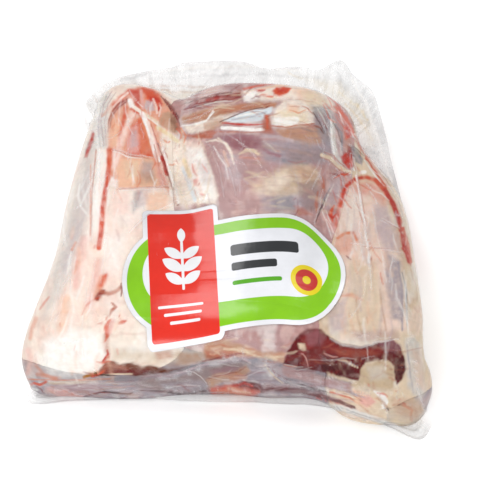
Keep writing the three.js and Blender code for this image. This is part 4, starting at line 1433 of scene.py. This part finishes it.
def label_values(along, across):
    """Distances to the print's plain shapes, which the material turns into fields of colour."""
    band_depth = LABEL_DEPTH + BAND_BEFORE + BAND_BEHIND
    band_across = (BAND_BEHIND - BAND_BEFORE) / 2
    stem = box_distance(along, across, (BAND_MIDDLE, 8), (1.4, 27), 0.6)
    leaves = [leaf_distance(along, across, (BAND_MIDDLE, 21), math.pi / 2, 9)]
    for height, length in ((15, 11), (8, 12.5), (1, 11)):
        leaves += [leaf_distance(along, across, (BAND_MIDDLE, height - 3), math.pi / 2 + side * 1.0, length)
                   for side in (-1, 1)]
    small_bars = [box_distance(along, across, (BAND_MIDDLE - 2 + k, -15 - 4.5 * k), (24 - 4 * k, 1.6), 0.6)
                  for k in range(3)]
    return {
        "oval": oval_distance(along, across, LABEL_LENGTH - 5, LABEL_DEPTH - 5),
        "field": oval_distance(along - 1, across - 3.5, LABEL_LENGTH - 20, LABEL_DEPTH - 25),
        "dark_bars": np.minimum(box_distance(along, across, (17, 12), (36, 6.5), 1.5),
                                box_distance(along, across, (11, 2.5), (24, 4.5), 1.2)),
        "green_bar": box_distance(along, across, (12, -6.5), (26, 2.4), 1.0),
        "seal": np.hypot(along - 38, across + 6) - 8.5,
        "seal_middle": np.hypot(along - 38, across + 6) - 6,
        "seal_dot": np.hypot(along - 38, across + 6) - 2.2,
        "band": box_distance(along, across, (BAND_MIDDLE, band_across),
                             (BAND_WIDTH - 5, band_depth - 5), 1.5),
        "sprig": np.minimum.reduce([stem, *leaves, *small_bars]),
        "depth": across,
    }


PRINT = (
    ("oval", "#83c40e"), ("field", "#e9eaef"), ("dark_bars", "#2b2d30"), ("green_bar", "#55a51c"),
    ("seal", "#e5cf1c"), ("seal_middle", "#c2302a"), ("seal_dot", "#e5cf1c"), ("band", "#df2a18"),
    ("sprig", "#ececee"),
)


def label_material():
    material, tree, output = node_material("label_print")
    colour = add(tree, "RGB").outputs[0]
    colour.default_value = (0.8, 0.8, 0.83, 1)
    for key, code in PRINT:
        distance = add(tree, "Attribute", attribute_name=key)
        inside = span(tree, distance.outputs["Fac"], (-0.1, 0.1), (1, 0))
        mixed = add(tree, "Mix", {0: inside, 6: colour, 7: (*linear(code), 1)}, data_type="RGBA")
        colour = mixed.outputs[2]
    grain = place_noise(tree, 60, 4)
    shade = span(tree, grain.outputs[0], (0.3, 0.7), (0.88, 1.02))
    depth = add(tree, "Attribute", attribute_name="depth")
    # The whole print is made darker towards the label's back edge.
    darker_towards_back = span(tree, depth.outputs["Fac"], (-35, 45), (1.03, 0.86))
    both = add(tree, "Math", {0: shade, 1: darker_towards_back}, operation="MULTIPLY")
    scaled = add(tree, "VectorMath", {0: colour, "Scale": both.outputs[0]}, operation="SCALE")
    creases = place_noise(tree, 70, 3, (1, 0.4, 1))
    bump = add(tree, "Bump", {"Height": creases.outputs[0], "Strength": 0.3, "Distance": 0.0008})
    shader = add(tree, "BsdfPrincipled", {
        "Base Color": scaled.outputs[0], "Roughness": 0.2, "Normal": bump.outputs[0],
    })
    tree.links.new(shader.outputs[0], output.inputs[0])
    return material


LABEL = label_material()
label = label_piece(300, 205)
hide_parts("label")


# Floor, light and camera
def floor_material():
    material, tree, output = node_material("studio_floor")
    grain = place_noise(tree, 6, 3)
    shade = span(tree, grain.outputs[0], (0, 1), (0.955, 0.965))
    shader = add(tree, "BsdfPrincipled", {
        "Base Color": shade, "Roughness": 0.9, "Emission Color": (1, 1, 1, 1), "Emission Strength": 0.2,
    })
    tree.links.new(shader.outputs[0], output.inputs[0])
    return material


def studio_floor(size):
    mesh = bpy.data.meshes.new("floor")
    half = size / 2
    corners = [(-half, -half, 0), (half, -half, 0), (half, half, 0), (-half, half, 0)]
    mesh.from_pydata(corners, [], [(0, 1, 2, 3)])
    floor = bpy.data.objects.new("floor", mesh)
    bpy.context.scene.collection.objects.link(floor)
    floor.location.z = -0.0004
    mesh.materials.append(floor_material())


def soft_light(name, place, aim, size, power):
    data = bpy.data.lights.new(name, "AREA")
    data.shape = "RECTANGLE"
    data.size, data.size_y = size
    data.energy = power
    light = bpy.data.objects.new(name, data)
    bpy.context.scene.collection.objects.link(light)
    light.location = place
    direction = np.array(aim, float) - np.array(place, float)
    light.rotation_euler = (math.atan2(math.hypot(direction[0], direction[1]), -direction[2]), 0,
                            math.atan2(direction[1], direction[0]) - math.pi / 2)


def photo_camera():
    data = bpy.data.cameras.new("camera")
    data.sensor_width = 36
    data.lens = PHOTO_FOCAL * 36 / PHOTO_SIZE
    camera = bpy.data.objects.new("camera", data)
    bpy.context.scene.collection.objects.link(camera)
    camera.location = (EYE - PACK_MIDDLE) * MM
    camera.rotation_euler = (math.pi / 2 - PHOTO_ELEVATION, 0, 0)
    bpy.context.scene.camera = camera


studio_floor(6)
soft_light("key", (-0.55, 0.5, 1.1), (0, 0, 0), (0.7, 0.7), 7)
soft_light("front", (-0.25, -1.2, 0.75), (0, 0, 0), (1.0, 0.5), 8)
soft_light("side", (0.9, -0.1, 0.8), (0, 0, 0), (0.5, 0.8), 3)
world = bpy.data.worlds.new("studio")
bpy.context.scene.world = world
world.use_nodes = True
world.node_tree.nodes["Background"].inputs[0].default_value = (1, 1, 1, 1)
world.node_tree.nodes["Background"].inputs[1].default_value = 0.55
bpy.context.scene.view_settings.view_transform = "Standard"
photo_camera()
